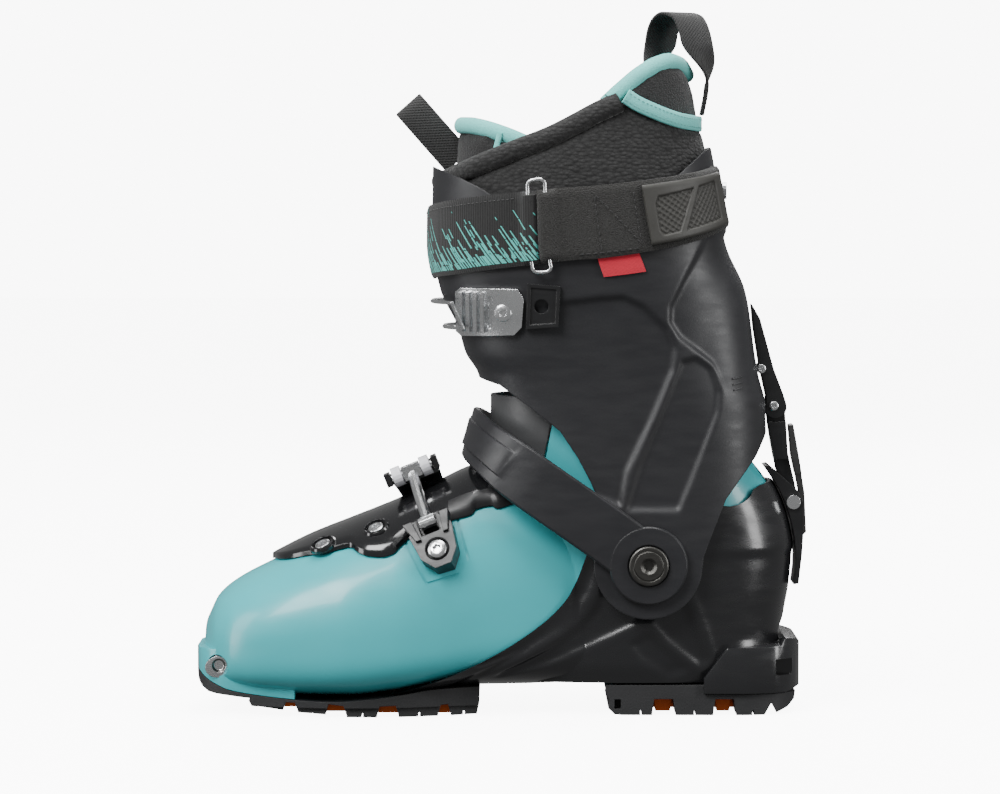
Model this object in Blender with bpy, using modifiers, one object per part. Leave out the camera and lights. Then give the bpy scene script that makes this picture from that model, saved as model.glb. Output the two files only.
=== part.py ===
"""Ski touring boot (right foot), one named solid for each physical piece.

Frame: origin on the ground under the middle of the sole, toe towards -X, heel towards +X,
+Z up, medial side towards -Y. Helper functions take millimetres and build meshes in metres.
"""

import math

import bmesh
import bpy
from mathutils import Matrix, Vector

MM = 0.001
GAP = 0.3  # between touching pieces

# Driving dimensions, millimetres
TOE_X, HEEL_X = -143.5, 142.6  # ends of the sole lugs
PIVOT_X, PIVOT_Z = 70.0, 72.0  # ankle pivot of the cuff
SHELL_WALL = 3.5
CUFF_WALL = 3.0
SKIN_IN, SKIN_OUT = 0.45, 2.6  # black over-mould, measured out from the shell
LINER_WALL = 5.5
REAR_R, FRONT_R = 68.5, 80.0  # radii about the pivot that cap the lower shell
LEDGE_Z = 33.8  # top of the heel lug
TOE_LEDGE_Z = 31.0  # top of the toe lug
BAR_PIN = (131.8, 144.0)  # x, z of the lock bar's pin
LEVER_PIN = (139.0, 134.0)  # x, z of the walk lever's hinge
LOCK_PIN = (140.2, 99.0)  # x, z of the shell's pin that the lock bar holds
RING_POINTS = 32
LINER_POINTS = 24

# Foot part of the shell: x, medial and lateral half width, bottom, widest height, crown, power
FOOT = [
    (-138, 20, 20, 17, 30, 45, 2.2),
    (-134, 31, 32, 15, 31, 54, 2.2),
    (-125, 41, 43, 11.8, 32, 61.5, 2.3),
    (-108, 49, 51, 9.8, 33, 70.5, 2.3),
    (-90, 53, 55, 8.4, 34, 79.5, 2.3),
    (-70, 56, 57, 8.4, 35, 87.5, 2.3),
    (-50, 55, 57, 10.6, 36, 95.5, 2.3),
    (-30, 51, 54, 13.5, 38, 104.5, 2.3),
    (-10, 46, 49, 15.3, 42, 113, 2.4),
    (15, 42, 44, 15.3, 48, 116, 2.6),
    (45, 36, 37, 15.6, 48, 108, 2.8),
]
# Ankle tube of the shell, level by level: z, front x, rear x, half width, power
ANKLE = [
    (15.3, -4, 130, 33, 2.4),
    (25, -4, 132.5, 36.5, 2.4),
    (45, -4, 134.5, 38.8, 2.4),
    (60, -4, 137, 39.6, 2.4),
    (76, -4, 138.2, 39.8, 2.4),
    (92, -4, 135.5, 39.8, 2.4),
    (106, -4, 130, 39.8, 2.4),
    (120, -4, 121, 39.8, 2.4),
    (155, -4, 118, 39.8, 2.4),
]
# Outside of the cuff, level by level: z, front x, rear x, half width, power
CUFF = [
    (45, -2, 127, 47, 3.4),
    (125, -5, 127.5, 47, 3.2),
    (145, -7, 127, 47.3, 3.0),
    (160, -10, 123.5, 47.8, 2.9),
    (170, -16, 121.8, 48.3, 2.8),
    (182, -19.5, 120.3, 49, 2.7),
    (200, -28, 117.6, 50, 2.7),
    (222, -32, 110, 51, 2.6),
    (259, -31.5, 102.5, 52, 2.5),
    (330, -31, 90, 53, 2.5),
]

boot = bpy.data.collections.new("ski_touring_boot")
cutters = bpy.data.collections.new("cutters")


# ------------------------------------------------------------------ scene and materials


def clear_scene():
    for old in list(bpy.data.objects):
        bpy.data.objects.remove(old, do_unlink=True)
    bpy.context.scene.collection.children.link(boot)
    bpy.context.scene.collection.children.link(cutters)


def material(name, colour, roughness, metallic=0.0):
    """A Principled material, made once for each name."""
    found = bpy.data.materials.get(name)
    if found:
        return found
    made = bpy.data.materials.new(name)
    made.use_nodes = True
    shader = made.node_tree.nodes["Principled BSDF"]
    shader.inputs["Base Color"].default_value = (*colour, 1.0)
    shader.inputs["Roughness"].default_value = roughness
    shader.inputs["Metallic"].default_value = metallic
    return made


def aqua_plastic():
    return material("aqua_plastic", (0.12, 0.51, 0.54), 0.28)


def black_plastic():
    return material("black_plastic", (0.05, 0.05, 0.054), 0.38)


def grey_plastic():
    return material("grey_plastic", (0.12, 0.12, 0.13), 0.45)


def black_rubber():
    return material("black_rubber", (0.045, 0.045, 0.05), 0.7)


def orange_rubber():
    return material("orange_rubber", (0.6, 0.12, 0.02), 0.6)


def steel():
    return material("steel", (0.62, 0.63, 0.64), 0.28, 1.0)


def dark_steel():
    return material("dark_steel", (0.12, 0.12, 0.12), 0.4, 1.0)


def white_plastic():
    return material("white_plastic", (0.8, 0.8, 0.82), 0.4)


def black_fabric():
    return material("black_fabric", (0.03, 0.03, 0.032), 0.95)


def aqua_fabric():
    return material("aqua_fabric", (0.25, 0.66, 0.62), 0.85)


def board_plastic():
    return material("board_plastic", (0.25, 0.25, 0.26), 0.6)


def foam():
    return material("foam", (0.2, 0.2, 0.21), 0.9)


def red_label():
    return material("red_label", (0.6, 0.03, 0.06), 0.6)


# ------------------------------------------------------------------ mesh helpers


def placed(points_to_mesh, name, look, origin=(0, 0, 0), cutter=False):
    """An object from a bmesh in world millimetres, with its origin at the given place."""
    bm = points_to_mesh
    bmesh.ops.recalc_face_normals(bm, faces=bm.faces)
    if bm.calc_volume(signed=True) < 0:
        bmesh.ops.reverse_faces(bm, faces=bm.faces)
    bmesh.ops.translate(bm, verts=bm.verts, vec=-Vector(origin))
    bmesh.ops.scale(bm, verts=bm.verts, vec=(MM, MM, MM))
    mesh = bpy.data.meshes.new(name)
    bm.to_mesh(mesh)
    bm.free()
    obj = bpy.data.objects.new(name, mesh)
    obj.location = Vector(origin) * MM
    if cutter:
        cutters.objects.link(obj)
        obj.hide_render = True
        obj.display_type = "WIRE"
        return obj
    boot.objects.link(obj)
    mesh.materials.append(look)
    mesh.shade_smooth()
    mesh.set_sharp_from_angle(angle=math.radians(35))
    return obj


def ring_mesh(rings, closed=False):
    """A bmesh that joins rings of points in order, capped at both ends unless it is closed."""
    bm = bmesh.new()
    rows = [[bm.verts.new(p) for p in ring] for ring in rings]
    count = len(rows[0])
    pairs = list(zip(rows, rows[1:]))
    if closed:
        pairs.append((rows[-1], rows[0]))
    for low, high in pairs:
        for i in range(count):
            j = (i + 1) % count
            bm.faces.new((low[i], low[j], high[j], high[i]))
    if not closed:
        bm.faces.new(rows[0])
        bm.faces.new(rows[-1])
    return bm


def prism_mesh(outline, low, high, plane="xz"):
    """A bmesh of an outline drawn in a plane and pushed from low to high along the third axis."""
    if plane == "xz":
        ends = [[(u, y, v) for u, v in outline] for y in (low, high)]
    else:
        ends = [[(u, v, z) for u, v in outline] for z in (low, high)]
    return ring_mesh(ends)


def box_mesh(low, high):
    bm = bmesh.new()
    bmesh.ops.create_cube(bm, size=1.0)
    size = [b - a for a, b in zip(low, high)]
    middle = [(a + b) / 2 for a, b in zip(low, high)]
    bmesh.ops.scale(bm, verts=bm.verts, vec=size)
    bmesh.ops.translate(bm, verts=bm.verts, vec=middle)
    return bm


def rod_mesh(start, end, radius, sides=16, end_radius=None):
    """A bmesh of a round bar, or of a cone when the end radius differs."""
    start, end = Vector(start), Vector(end)
    along = end - start
    bm = bmesh.new()
    bmesh.ops.create_cone(
        bm,
        cap_ends=True,
        segments=sides,
        radius1=radius,
        radius2=radius if end_radius is None else end_radius,
        depth=along.length,
    )
    turn = along.to_track_quat("Z", "Y").to_matrix().to_4x4()
    bmesh.ops.transform(bm, matrix=Matrix.Translation((start + end) / 2) @ turn, verts=bm.verts)
    return bm


def boolean(obj, operation, *others):
    """Adds exact Boolean modifiers; joined objects stop being pieces of their own."""
    for other in others:
        step = obj.modifiers.new(operation.lower(), "BOOLEAN")
        step.operation = operation
        step.object = other
        step.solver = "EXACT"
        if operation == "UNION":
            for holder in list(other.users_collection):
                holder.objects.unlink(other)
            cutters.objects.link(other)
            other.hide_render = True
            other.display_type = "WIRE"
    return obj


def cutter(mesh, name):
    return placed(mesh, name, None, cutter=True)


def bevelled(obj, width, segments=1, angle=50):
    step = obj.modifiers.new("bevel", "BEVEL")
    step.width = width * MM
    step.segments = segments
    step.limit_method = "ANGLE"
    step.angle_limit = math.radians(angle)
    return obj


def wire(name, points, radius, look, cyclic=False, origin=(0, 0, 0)):
    """A round wire along points in world millimetres."""
    data = bpy.data.curves.new(name, "CURVE")
    data.dimensions = "3D"
    data.bevel_depth = radius * MM
    data.bevel_resolution = 1
    data.use_fill_caps = not cyclic
    line = data.splines.new("POLY")
    line.points.add(len(points) - 1)
    line.use_cyclic_u = cyclic
    for point, place in zip(line.points, points):
        point.co = (*((Vector(place) - Vector(origin)) * MM), 1.0)
    obj = bpy.data.objects.new(name, data)
    obj.location = Vector(origin) * MM
    boot.objects.link(obj)
    data.materials.append(look)
    return obj


# ------------------------------------------------------------------ shape functions


def between(table, at):
    """Row of a table read at a value of its first column, by straight interpolation."""
    if at <= table[0][0]:
        return table[0][1:]
    for low, high in zip(table, table[1:]):
        if at <= high[0]:
            part = (at - low[0]) / (high[0] - low[0])
            return tuple(a + (b - a) * part for a, b in zip(low[1:], high[1:]))
    return table[-1][1:]


def signed_power(value, power):
    return math.copysign(abs(value) ** power, value)


def foot_ring(x, grow):
    """Cross-section of the foot part at x, grown outwards by a distance."""
    medial, lateral, bottom, widest, crown, power = between(FOOT, x)
    points = []
    count = 24
    for i in range(count):
        turn = 2 * math.pi * (i + 0.5) / count
        side, up = math.cos(turn), math.sin(turn)
        half = (lateral if side > 0 else medial) + grow
        height = (crown + grow - widest) if up > 0 else (widest - bottom + grow)
        fullness = power if up > 0 else 3.6
        points.append(
            (
                x,
                half * signed_power(side, 2 / fullness),
                widest + height * signed_power(up, 2 / fullness),
            )
        )
    return points


def foot_mesh(grow):
    """The foot part of the boot as a closed form, grown outwards by a distance."""
    stations = [row[0] for row in FOOT]
    rings = [foot_ring(x, grow) for x in stations]
    first, last = FOOT[0][0], FOOT[-1][0]
    rings[0] = [(first - grow, y, z) for _, y, z in rings[0]]
    rings[-1] = [(last + grow, y, z) for _, y, z in rings[-1]]
    return ring_mesh(rings)


def level_ring(table, z, grow, count=RING_POINTS):
    """Horizontal outline of a tube form at z, starting at the front and turning to the medial side."""
    front, rear, half, power = between(table, z)
    middle, reach = (front + rear) / 2, (rear - front) / 2 + grow
    points = []
    for i in range(count):
        turn = 2 * math.pi * i / count
        points.append(
            (
                middle - reach * signed_power(math.cos(turn), 2 / power),
                -(half + grow) * signed_power(math.sin(turn), 2 / power),
                z,
            )
        )
    return points


def tube_mesh(table, grow, low=None, high=None, count=RING_POINTS):
    """A tube form between two heights as a closed solid."""
    low = table[0][0] if low is None else low
    high = table[-1][0] if high is None else high
    levels = [low] + [row[0] for row in table if low < row[0] < high] + [high]
    return ring_mesh([level_ring(table, z, grow, count) for z in levels])


def cuff_point(turn, z, out):
    """A point outside the cuff's wall: turn in degrees from the front towards the medial side."""
    front, rear, half, power = between(CUFF, z)
    middle, reach = (front + rear) / 2, (rear - front) / 2

    def at(angle):
        return Vector(
            (
                middle - reach * signed_power(math.cos(angle), 2 / power),
                -half * signed_power(math.sin(angle), 2 / power),
                0,
            )
        )

    angle = math.radians(turn)
    step = 0.02
    along = at(angle + step) - at(angle - step)
    outward = Vector((along.y, -along.x, 0)).normalized()
    if outward.dot(at(angle) - Vector((middle, 0, 0))) < 0:
        outward = -outward
    return at(angle) + outward * out + Vector((0, 0, z))


def cuff_band_mesh(turns, low, high, inner, outer, levels=2):
    """A band that lies round the cuff; low and high give its edges' heights at each turn."""
    rings = []
    for turn in turns:
        bottom, top = low(turn), high(turn)
        heights = [bottom + (top - bottom) * i / levels for i in range(levels + 1)]
        inside = [cuff_point(turn, z, inner) for z in heights]
        outside = [cuff_point(turn, z, outer) for z in reversed(heights)]
        rings.append(inside + outside)
    return ring_mesh(rings)


def spread(start, end, steps):
    return [start + (end - start) * i / steps for i in range(steps + 1)]


def arc(radius, start, end, steps, centre=(PIVOT_X, PIVOT_Z)):
    """Points on a circle in X and Z; angles in degrees from straight up, positive towards the toe."""
    return [
        (
            centre[0] - radius * math.sin(math.radians(a)),
            centre[1] + radius * math.cos(math.radians(a)),
        )
        for a in spread(start, end, steps)
    ]


def sole_half_width(x):
    """Half width of the tread at x."""
    table = [
        (-143.5, 16),
        (-141, 24),
        (-136, 30),
        (-128, 34),
        (-112, 38),
        (-90, 44),
        (-72, 46),
        (-50, 44.5),
        (-28, 39),
        (-8, 34),
        (45, 33),
        (60, 34),
        (115, 34.5),
        (130, 31),
        (138, 24),
        (142.6, 15),
    ]
    return between(table, x)[0]


def plan_outline(first, last, steps, inset=0.0):
    """Outline of the tread seen from above, between two stations."""
    stations = spread(first, last, steps)
    near = [(x, -sole_half_width(x) + inset) for x in stations]
    far = [(x, sole_half_width(x) - inset) for x in reversed(stations)]
    return near + far


# ------------------------------------------------------------------ lower shell


def shell_profile(rear, front):
    """Side outline that the lower shell and its skin keep inside."""
    return (
        [(-150, 0), (-150, 112), (-20, 112), (-8, 107), (19, 106), (25, 137)]
        + arc(front, 30, 6, 3)
        + arc(rear, -8, -118, 11)
        + [(134, 0)]
    )


def rivet_hole(name, radius):
    return cutter(
        rod_mesh((PIVOT_X, -70, PIVOT_Z), (PIVOT_X, 70, PIVOT_Z), radius, 20), name
    )


def lower_shell():
    shell = placed(foot_mesh(0), "lower_shell", aqua_plastic())
    ankle = cutter(tube_mesh(ANKLE, 0), "shell_ankle")
    profile = cutter(
        prism_mesh(shell_profile(REAR_R, FRONT_R), -80, 80), "shell_profile_cut"
    )
    lug = cutter(toe_lug_mesh(), "toe_lug")
    hollow_foot = cutter(foot_mesh(-SHELL_WALL), "shell_foot_hollow")
    boolean(hollow_foot, "INTERSECT", cutter(box_mesh((-126, -80, 19), (45, 80, 130)), "foot_room"))
    hollow_ankle = cutter(
        tube_mesh(ANKLE, -SHELL_WALL, low=19, high=175), "shell_ankle_hollow"
    )
    throat = cutter(box_mesh((-72, -19, 60), (12, 19, 140)), "throat")
    boolean(shell, "UNION", ankle)
    boolean(shell, "INTERSECT", profile)
    boolean(shell, "UNION", lug)
    boolean(shell, "DIFFERENCE", hollow_foot, hollow_ankle, throat)
    boolean(shell, "DIFFERENCE", rivet_hole("shell_rivet_hole", 5.3))
    pin = rod_mesh((-132.7, -60, 23.2), (-132.7, 60, 23.2), 4.9, 14)
    boolean(shell, "DIFFERENCE", cutter(pin, "toe_insert_hole"))
    return shell


def toe_lug_mesh():
    """The flat-topped welt round the toe that a binding holds."""
    outline = plan_outline(TOE_X, -96, 9)
    bm = prism_mesh(outline, 12.0, TOE_LEDGE_Z, plane="xy")
    for vert in bm.verts:
        if vert.co.z < 20:
            vert.co.z = sole_seam(vert.co.x) + GAP
    return bm


def sole_seam(x):
    """Height of the joint between the tread and the shell."""
    table = [
        (-143.5, 21),
        (-138, 16.4),
        (-126, 11.3),
        (-103, 8.6),
        (-79, 7.4),
        (-60, 8.6),
        (-46, 10.3),
        (-32, 12.5),
        (-8, 13.5),
    ]
    return between(table, x)[0]


def toe_insert():
    """Steel bar through the toe, with a socket in each end for a binding's pins."""
    half = 32.3
    bar = placed(
        rod_mesh((-132.7, -half, 23.2), (-132.7, half, 23.2), 4.6, 14), "toe_insert", steel()
    )
    for side in (-1, 1):
        socket = rod_mesh(
            (-132.7, side * (half + 1), 23.2), (-132.7, side * (half - 3.5), 23.2), 3.2, 12, 1.2
        )
        boolean(bar, "DIFFERENCE", cutter(socket, f"toe_socket_{side + 2}"))
    return bar


def chassis_outline():
    """Side outline of the black over-mould: arch, heel and ankle."""
    return (
        [(-33, 12.9), (-33, 14), (-9, 25.5), (10, 38.5), (26, 55), (35.5, 66.5), (42, 78), (45, 96)]
        + [(52, 116), (66, 121), (88, 119), (97, 108), (104, 98), (117, 100)]
        + [(122, 110), (150, 108), (150, 9.8), (-8.6, 9.8), (-8.6, 13.9)]
    )


def shell_chassis():
    """Black frame moulded over the rear of the shell, with the heel lug in one with it."""
    frame = placed(foot_mesh(SKIN_OUT), "shell_chassis", black_plastic())
    ankle = cutter(tube_mesh(ANKLE, SKIN_OUT, high=150), "chassis_ankle")
    boolean(frame, "UNION", ankle)
    rear = arc(REAR_R + SKIN_OUT, -2, -118, 12)
    keep = [(-150, 0), (-150, 150)] + rear + [(136.5, 0)]
    boolean(frame, "INTERSECT", cutter(prism_mesh(keep, -80, 80), "chassis_keep"))
    lug = prism_mesh(plan_outline(88, HEEL_X, 8), 10.2, LEDGE_Z, plane="xy")
    boolean(frame, "UNION", cutter(lug, "heel_lug"))
    boolean(frame, "INTERSECT", cutter(prism_mesh(chassis_outline(), -80, 80), "chassis_side"))
    inner_foot = cutter(foot_mesh(SKIN_IN), "chassis_foot_hollow")
    boolean(frame, "DIFFERENCE", inner_foot)
    inner = tube_mesh(ANKLE, SKIN_IN, low=15.0, high=175)
    boolean(frame, "DIFFERENCE", cutter(inner, "chassis_ankle_hollow"))
    boolean(frame, "DIFFERENCE", rivet_hole("chassis_rivet_hole", 5.3))
    boolean(frame, "DIFFERENCE", cutter(box_mesh((137.4, -9.3, 11.5), (150, 9.3, 31.3)), "heel_insert_seat"))
    return frame


def heel_insert():
    """Steel plate behind the heel with two slots for a binding's pins."""
    plate = placed(
        box_mesh((137.8, -9, 11.8), (HEEL_X + 0.3, 9, 31)), "heel_insert", steel()
    )
    for side in (-1, 1):
        slot = box_mesh((141, side * 5.2 - 1.4, 20), (150, side * 5.2 + 1.4, 29))
        boolean(plate, "DIFFERENCE", cutter(slot, f"heel_slot_{side + 2}"))
    hole = rod_mesh((136, 0, 16.5), (150, 0, 16.5), 3.0, 14)
    boolean(plate, "DIFFERENCE", cutter(hole, "heel_screw_hole"))
    return plate


def heel_insert_screw():
    return placed(
        rod_mesh((137.9, 0, 16.5), (142.4, 0, 16.5), 2.7, 12), "heel_insert_screw", steel()
    )


def ankle_rivet(side):
    """Pivot bolt through strap, cuff and shell, with its wide flat head outside."""
    name = "ankle_rivet_medial" if side < 0 else "ankle_rivet_lateral"
    outline = [(0, 52.6), (7.6, 52.6), (8.9, 51.9), (8.9, 50.9), (5.0, 50.9), (5.0, 36.6), (0, 36.6)]
    rings = []
    for i in range(20):
        turn = 2 * math.pi * i / 20
        rings.append((math.cos(turn), math.sin(turn)))
    rows = [
        [(PIVOT_X + r * c, side * out, PIVOT_Z + r * s) for c, s in rings]
        for r, out in outline[1:-1]
    ]
    rivet = placed(ring_mesh(rows), name, dark_steel(), origin=(PIVOT_X, 0, PIVOT_Z))
    socket = rod_mesh(
        (PIVOT_X, side * 60, PIVOT_Z), (PIVOT_X, side * 49.5, PIVOT_Z), 2.2, 6
    )
    boolean(rivet, "DIFFERENCE", cutter(socket, name + "_socket"))
    return rivet


# ------------------------------------------------------------------ sole

GROUND_LINE = [
    (-143.5, 19.6),
    (-140.7, 12.7),
    (-133.7, 9.8),
    (-120, 8.2),
    (-116.3, 5.4),
    (-93.8, 2.2),
    (-70.8, 0),
    (-10, 0),
]
FRONT_GROOVES = [(-102.2, -93.8), (-82, -70.8), (-58, -46.4), (-29.5, -22)]
HEEL_GROOVES = [(72.2, 83), (101, 111.6)]


def sole_front():
    """Front tread: rocker underside, side lugs and a central bed for the soft insert."""
    tread = placed(prism_mesh(plan_outline(TOE_X, -9, 16), 0, 20, plane="xy"), "sole_front", black_rubber())
    top = [(x, sole_seam(x)) for x in (-9, -32, -46, -60, -79, -103, -126, -138, -143.5)]
    side = [(x, z) for x, z in GROUND_LINE] + [(-9, 0)] + top
    side = side[:-1] + [(-145, 21)] + [(-145, 19.6)]
    boolean(tread, "INTERSECT", cutter(prism_mesh(side, -60, 60), "tread_side"))
    bed = box_mesh((-112, -13, -5), (-12, 13, 4.6))
    boolean(tread, "DIFFERENCE", cutter(bed, "tread_bed"))
    for index, (start, end) in enumerate(FRONT_GROOVES):
        floor = between(GROUND_LINE, (start + end) / 2)[0]
        groove = box_mesh((start, -60, -5), (end, 60, min(floor + 4.2, 6.0)))
        boolean(tread, "DIFFERENCE", cutter(groove, f"tread_groove_{index}"))
    return tread


def sole_insert_front():
    """Softer orange compound in the middle of the front tread."""
    outline = [(-111, 4.3), (-111, 3.6), (-92, 2.2), (-70.8, 0.4), (-13, 0.4), (-13, 4.3)]
    insert = placed(prism_mesh(outline, -12.6, 12.6), "sole_insert_front", orange_rubber())
    return insert


def sole_heel():
    """Heel tread: side lugs, two grooves and a bevelled rear edge."""
    tread = placed(prism_mesh(plan_outline(50, 141, 12), 0, 9.9, plane="xy"), "sole_heel", black_rubber())
    side = [(46, 9.9), (53, 0), (128, 0), (134, 1.5), (141.5, 6.5), (141.5, 9.9)]
    boolean(tread, "INTERSECT", cutter(prism_mesh(side, -60, 60), "heel_side"))
    bed = box_mesh((66, -13, -5), (124, 13, 6.4))
    boolean(tread, "DIFFERENCE", cutter(bed, "heel_bed"))
    for index, (start, end) in enumerate(HEEL_GROOVES):
        groove = box_mesh((start, -60, -5), (end, 60, 6.8))
        boolean(tread, "DIFFERENCE", cutter(groove, f"heel_groove_{index}"))
    return tread


def sole_insert_heel():
    return placed(box_mesh((66.4, -12.6, 0.4), (123.6, 12.6, 6.1)), "sole_insert_heel", orange_rubber())


# ------------------------------------------------------------------ inside the shell


def boot_board():
    """Stiff board under the liner that levels the shell's floor."""
    board = placed(foot_mesh(-SHELL_WALL - 0.8), "boot_board", board_plastic())
    boolean(board, "UNION", cutter(tube_mesh(ANKLE, -SHELL_WALL - 0.8, low=18, high=40), "board_heel"))
    layer = box_mesh((-120, -80, 19.4), (150, 80, 22.4))
    boolean(board, "INTERSECT", cutter(layer, "board_layer"))
    return board


def liner_profile():
    """Side outline of the bootie part of the liner."""
    return [(-150, 22.8), (-150, 104), (-14, 104), (-6, 101), (16, 101)] + arc(
        FRONT_R - 1.5, 36, 6, 3
    ) + arc(REAR_R - 0.8, -8, -118, 9) + [(128, 22.8)]


def liner_foot():
    """Foam bootie inside the shell, open at the ankle."""
    out = -SHELL_WALL - 0.6
    bootie = placed(foot_mesh(out), "liner_foot", black_fabric())
    boolean(bootie, "UNION", cutter(tube_mesh(ANKLE, out, low=20, count=LINER_POINTS), "liner_ankle"))
    boolean(bootie, "INTERSECT", cutter(prism_mesh(liner_profile(), -80, 80), "liner_side"))
    nose = box_mesh((-124.5, -80, 0), (200, 80, 200))
    boolean(bootie, "INTERSECT", cutter(nose, "liner_nose"))
    foot_room = cutter(foot_mesh(out - LINER_WALL), "liner_foot_hollow")
    boolean(foot_room, "INTERSECT", cutter(box_mesh((-118, -80, 27), (45, 80, 96)), "liner_room"))
    ankle_room = cutter(tube_mesh(ANKLE, out - LINER_WALL, 27, 175, LINER_POINTS), "liner_ankle_hollow")
    boolean(bootie, "DIFFERENCE", foot_room, ankle_room)
    return bootie


def insole():
    """Loose footbed that lies in the liner."""
    out = -SHELL_WALL - 0.6 - LINER_WALL - 1.0
    sole = placed(foot_mesh(out), "insole", foam())
    boolean(sole, "UNION", cutter(tube_mesh(ANKLE, out, low=26, high=40), "insole_heel"))
    boolean(sole, "INTERSECT", cutter(box_mesh((-114, -80, 27.4), (150, 80, 30.6)), "insole_layer"))
    return sole


# ------------------------------------------------------------------ tongue, flap and straps


def tongue_cover():
    """Stiff black cover over the throat, screwed to the shell at its front."""
    rings = []
    for x in (-107, -100, -90, -75, -60, -45, -30, -18):
        medial, lateral, _, widest, crown, power = between(FOOT, x)
        reach = 22 if x < -95 else 34
        reach = 12 if x < -105 else reach
        row = []
        for out, sides in ((0.8, (-1, 1)), (3.5, (1, -1))):
            for y in spread(sides[0] * reach, sides[1] * reach, 8):
                half = (lateral if y > 0 else medial) + out
                lift = (1 - min(abs(y) / half, 1) ** power) ** (1 / power)
                row.append((x, y, widest + (crown + out - widest) * lift))
        rings.append(row)
    return placed(ring_mesh(rings), "tongue_cover", black_plastic())


def foot_top(x, y, out):
    """Point on the foot part's crown above (x, y), pushed out by a distance."""
    medial, lateral, _, widest, crown, power = between(FOOT, x)
    half = (lateral if y > 0 else medial) + out
    lift = (1 - min(abs(y) / half, 1) ** power) ** (1 / power)
    return Vector((x, y, widest + (crown + out - widest) * lift))


def foot_normal(x, y):
    """Outward direction of the foot part's crown above (x, y)."""
    here = foot_top(x, y, 0)
    along = foot_top(x + 1, y, 0) - here
    across = foot_top(x, y + 1, 0) - here
    return along.cross(across).normalized()


def surface_screw(name, x, y, out, radius=3.6, height=1.6):
    """Round screw head that lies flat on the foot part."""
    normal = foot_normal(x, y)
    base = foot_top(x, y, 0) + normal * out
    return placed(rod_mesh(base, base + normal * height, radius, 12), name, steel())


def frame_at(origin, along, outward):
    """Matrix of a local frame: x along, z outward, y across both."""
    x = Vector(along).normalized()
    z = (Vector(outward) - x * x.dot(Vector(outward))).normalized()
    y = z.cross(x)
    turn = Matrix((x, y, z)).transposed().to_4x4()
    return Matrix.Translation(Vector(origin)) @ turn


def moved(mesh, frame):
    """A bmesh drawn in a local frame, moved to its place."""
    bmesh.ops.transform(mesh, matrix=frame, verts=mesh.verts)
    return mesh


def tongue_screws():
    """Two screws that hold the cover, on its medial edge."""
    for index, (x, y) in enumerate(((-82, -29), (-57, -31))):
        surface_screw(f"tongue_screw_{index + 1}", x, y, 3.9)


ANCHOR_X, ANCHOR_Y = -29.0, -42.0
CROSSHEAD = (-41.5, -14.0, 114.0)
FOOT_SLOPE = (math.cos(math.radians(22)), 0.0, math.sin(math.radians(22)))
ROD_FOOT = (0.0, 10.5, 6.2)  # in the anchor's own frame


def anchor_frame():
    """Frame of the anchor block: x along the foot, y up the instep, z outward."""
    base = foot_top(ANCHOR_X, ANCHOR_Y, 0)
    return frame_at(base, FOOT_SLOPE, foot_normal(ANCHOR_X, ANCHOR_Y))


def forefoot_anchor():
    """Block screwed to the medial side of the shell, with a slot for the buckle's rod."""
    frame = anchor_frame()
    outline = [(-8, -13), (8, -13), (11, 12), (-11, 12)]
    block = placed(
        moved(prism_mesh(outline, -5, 8.5, plane="xy"), frame), "forefoot_anchor", black_plastic()
    )
    boolean(block, "DIFFERENCE", cutter(foot_mesh(0.4), "anchor_under"))
    slot = moved(box_mesh((-4.6, 5.5, 2.2), (4.6, 20, 12)), frame)
    boolean(block, "DIFFERENCE", cutter(slot, "anchor_slot"))
    seat = moved(rod_mesh((0, -4.5, 6.5), (0, -4.5, 12), 5.2, 16), frame)
    boolean(block, "DIFFERENCE", cutter(seat, "anchor_seat"))
    placed(
        moved(rod_mesh((0, -4.5, 6.8), (0, -4.5, 9.6), 4.7, 14), frame), "forefoot_anchor_screw", steel()
    )


def lever_frame():
    """Frame of the forefoot lever: x along its axis, z outward, y towards the lateral side."""
    return frame_at(CROSSHEAD, FOOT_SLOPE, (-FOOT_SLOPE[2], 0, FOOT_SLOPE[0]))


def forefoot_rod():
    """Threaded rod from the anchor to the crosshead that carries the lever."""
    foot = anchor_frame() @ Vector(ROD_FOOT)
    rod = placed(rod_mesh(foot, CROSSHEAD, 2.5, 10), "forefoot_rod", steel(), origin=foot)
    eye = Vector(FOOT_SLOPE) * 3.8
    boolean(rod, "UNION", cutter(rod_mesh(foot - eye, foot + eye, 3.0, 12), "rod_eye"))
    head = moved(box_mesh((-4.4, -3.6, -3.4), (4.4, 3.6, 3.4)), lever_frame())
    boolean(rod, "UNION", cutter(head, "rod_head"))
    axle = moved(rod_mesh((-10.2, 0, 0), (10.2, 0, 0), 1.5, 10), lever_frame())
    boolean(rod, "UNION", cutter(axle, "rod_axle"))


def forefoot_rollers():
    for side, name in ((-1, "forefoot_roller_front"), (1, "forefoot_roller_rear")):
        low, high = sorted((side * 4.9, side * 9.4))
        roller = moved(rod_mesh((low, 0, 0), (high, 0, 0), 4.8, 18), lever_frame())
        made = placed(roller, name, white_plastic(), origin=CROSSHEAD)
        bore = moved(rod_mesh((low - 2, 0, 0), (high + 2, 0, 0), 1.8, 12), lever_frame())
        boolean(made, "DIFFERENCE", cutter(bore, name + "_bore"))


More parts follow.
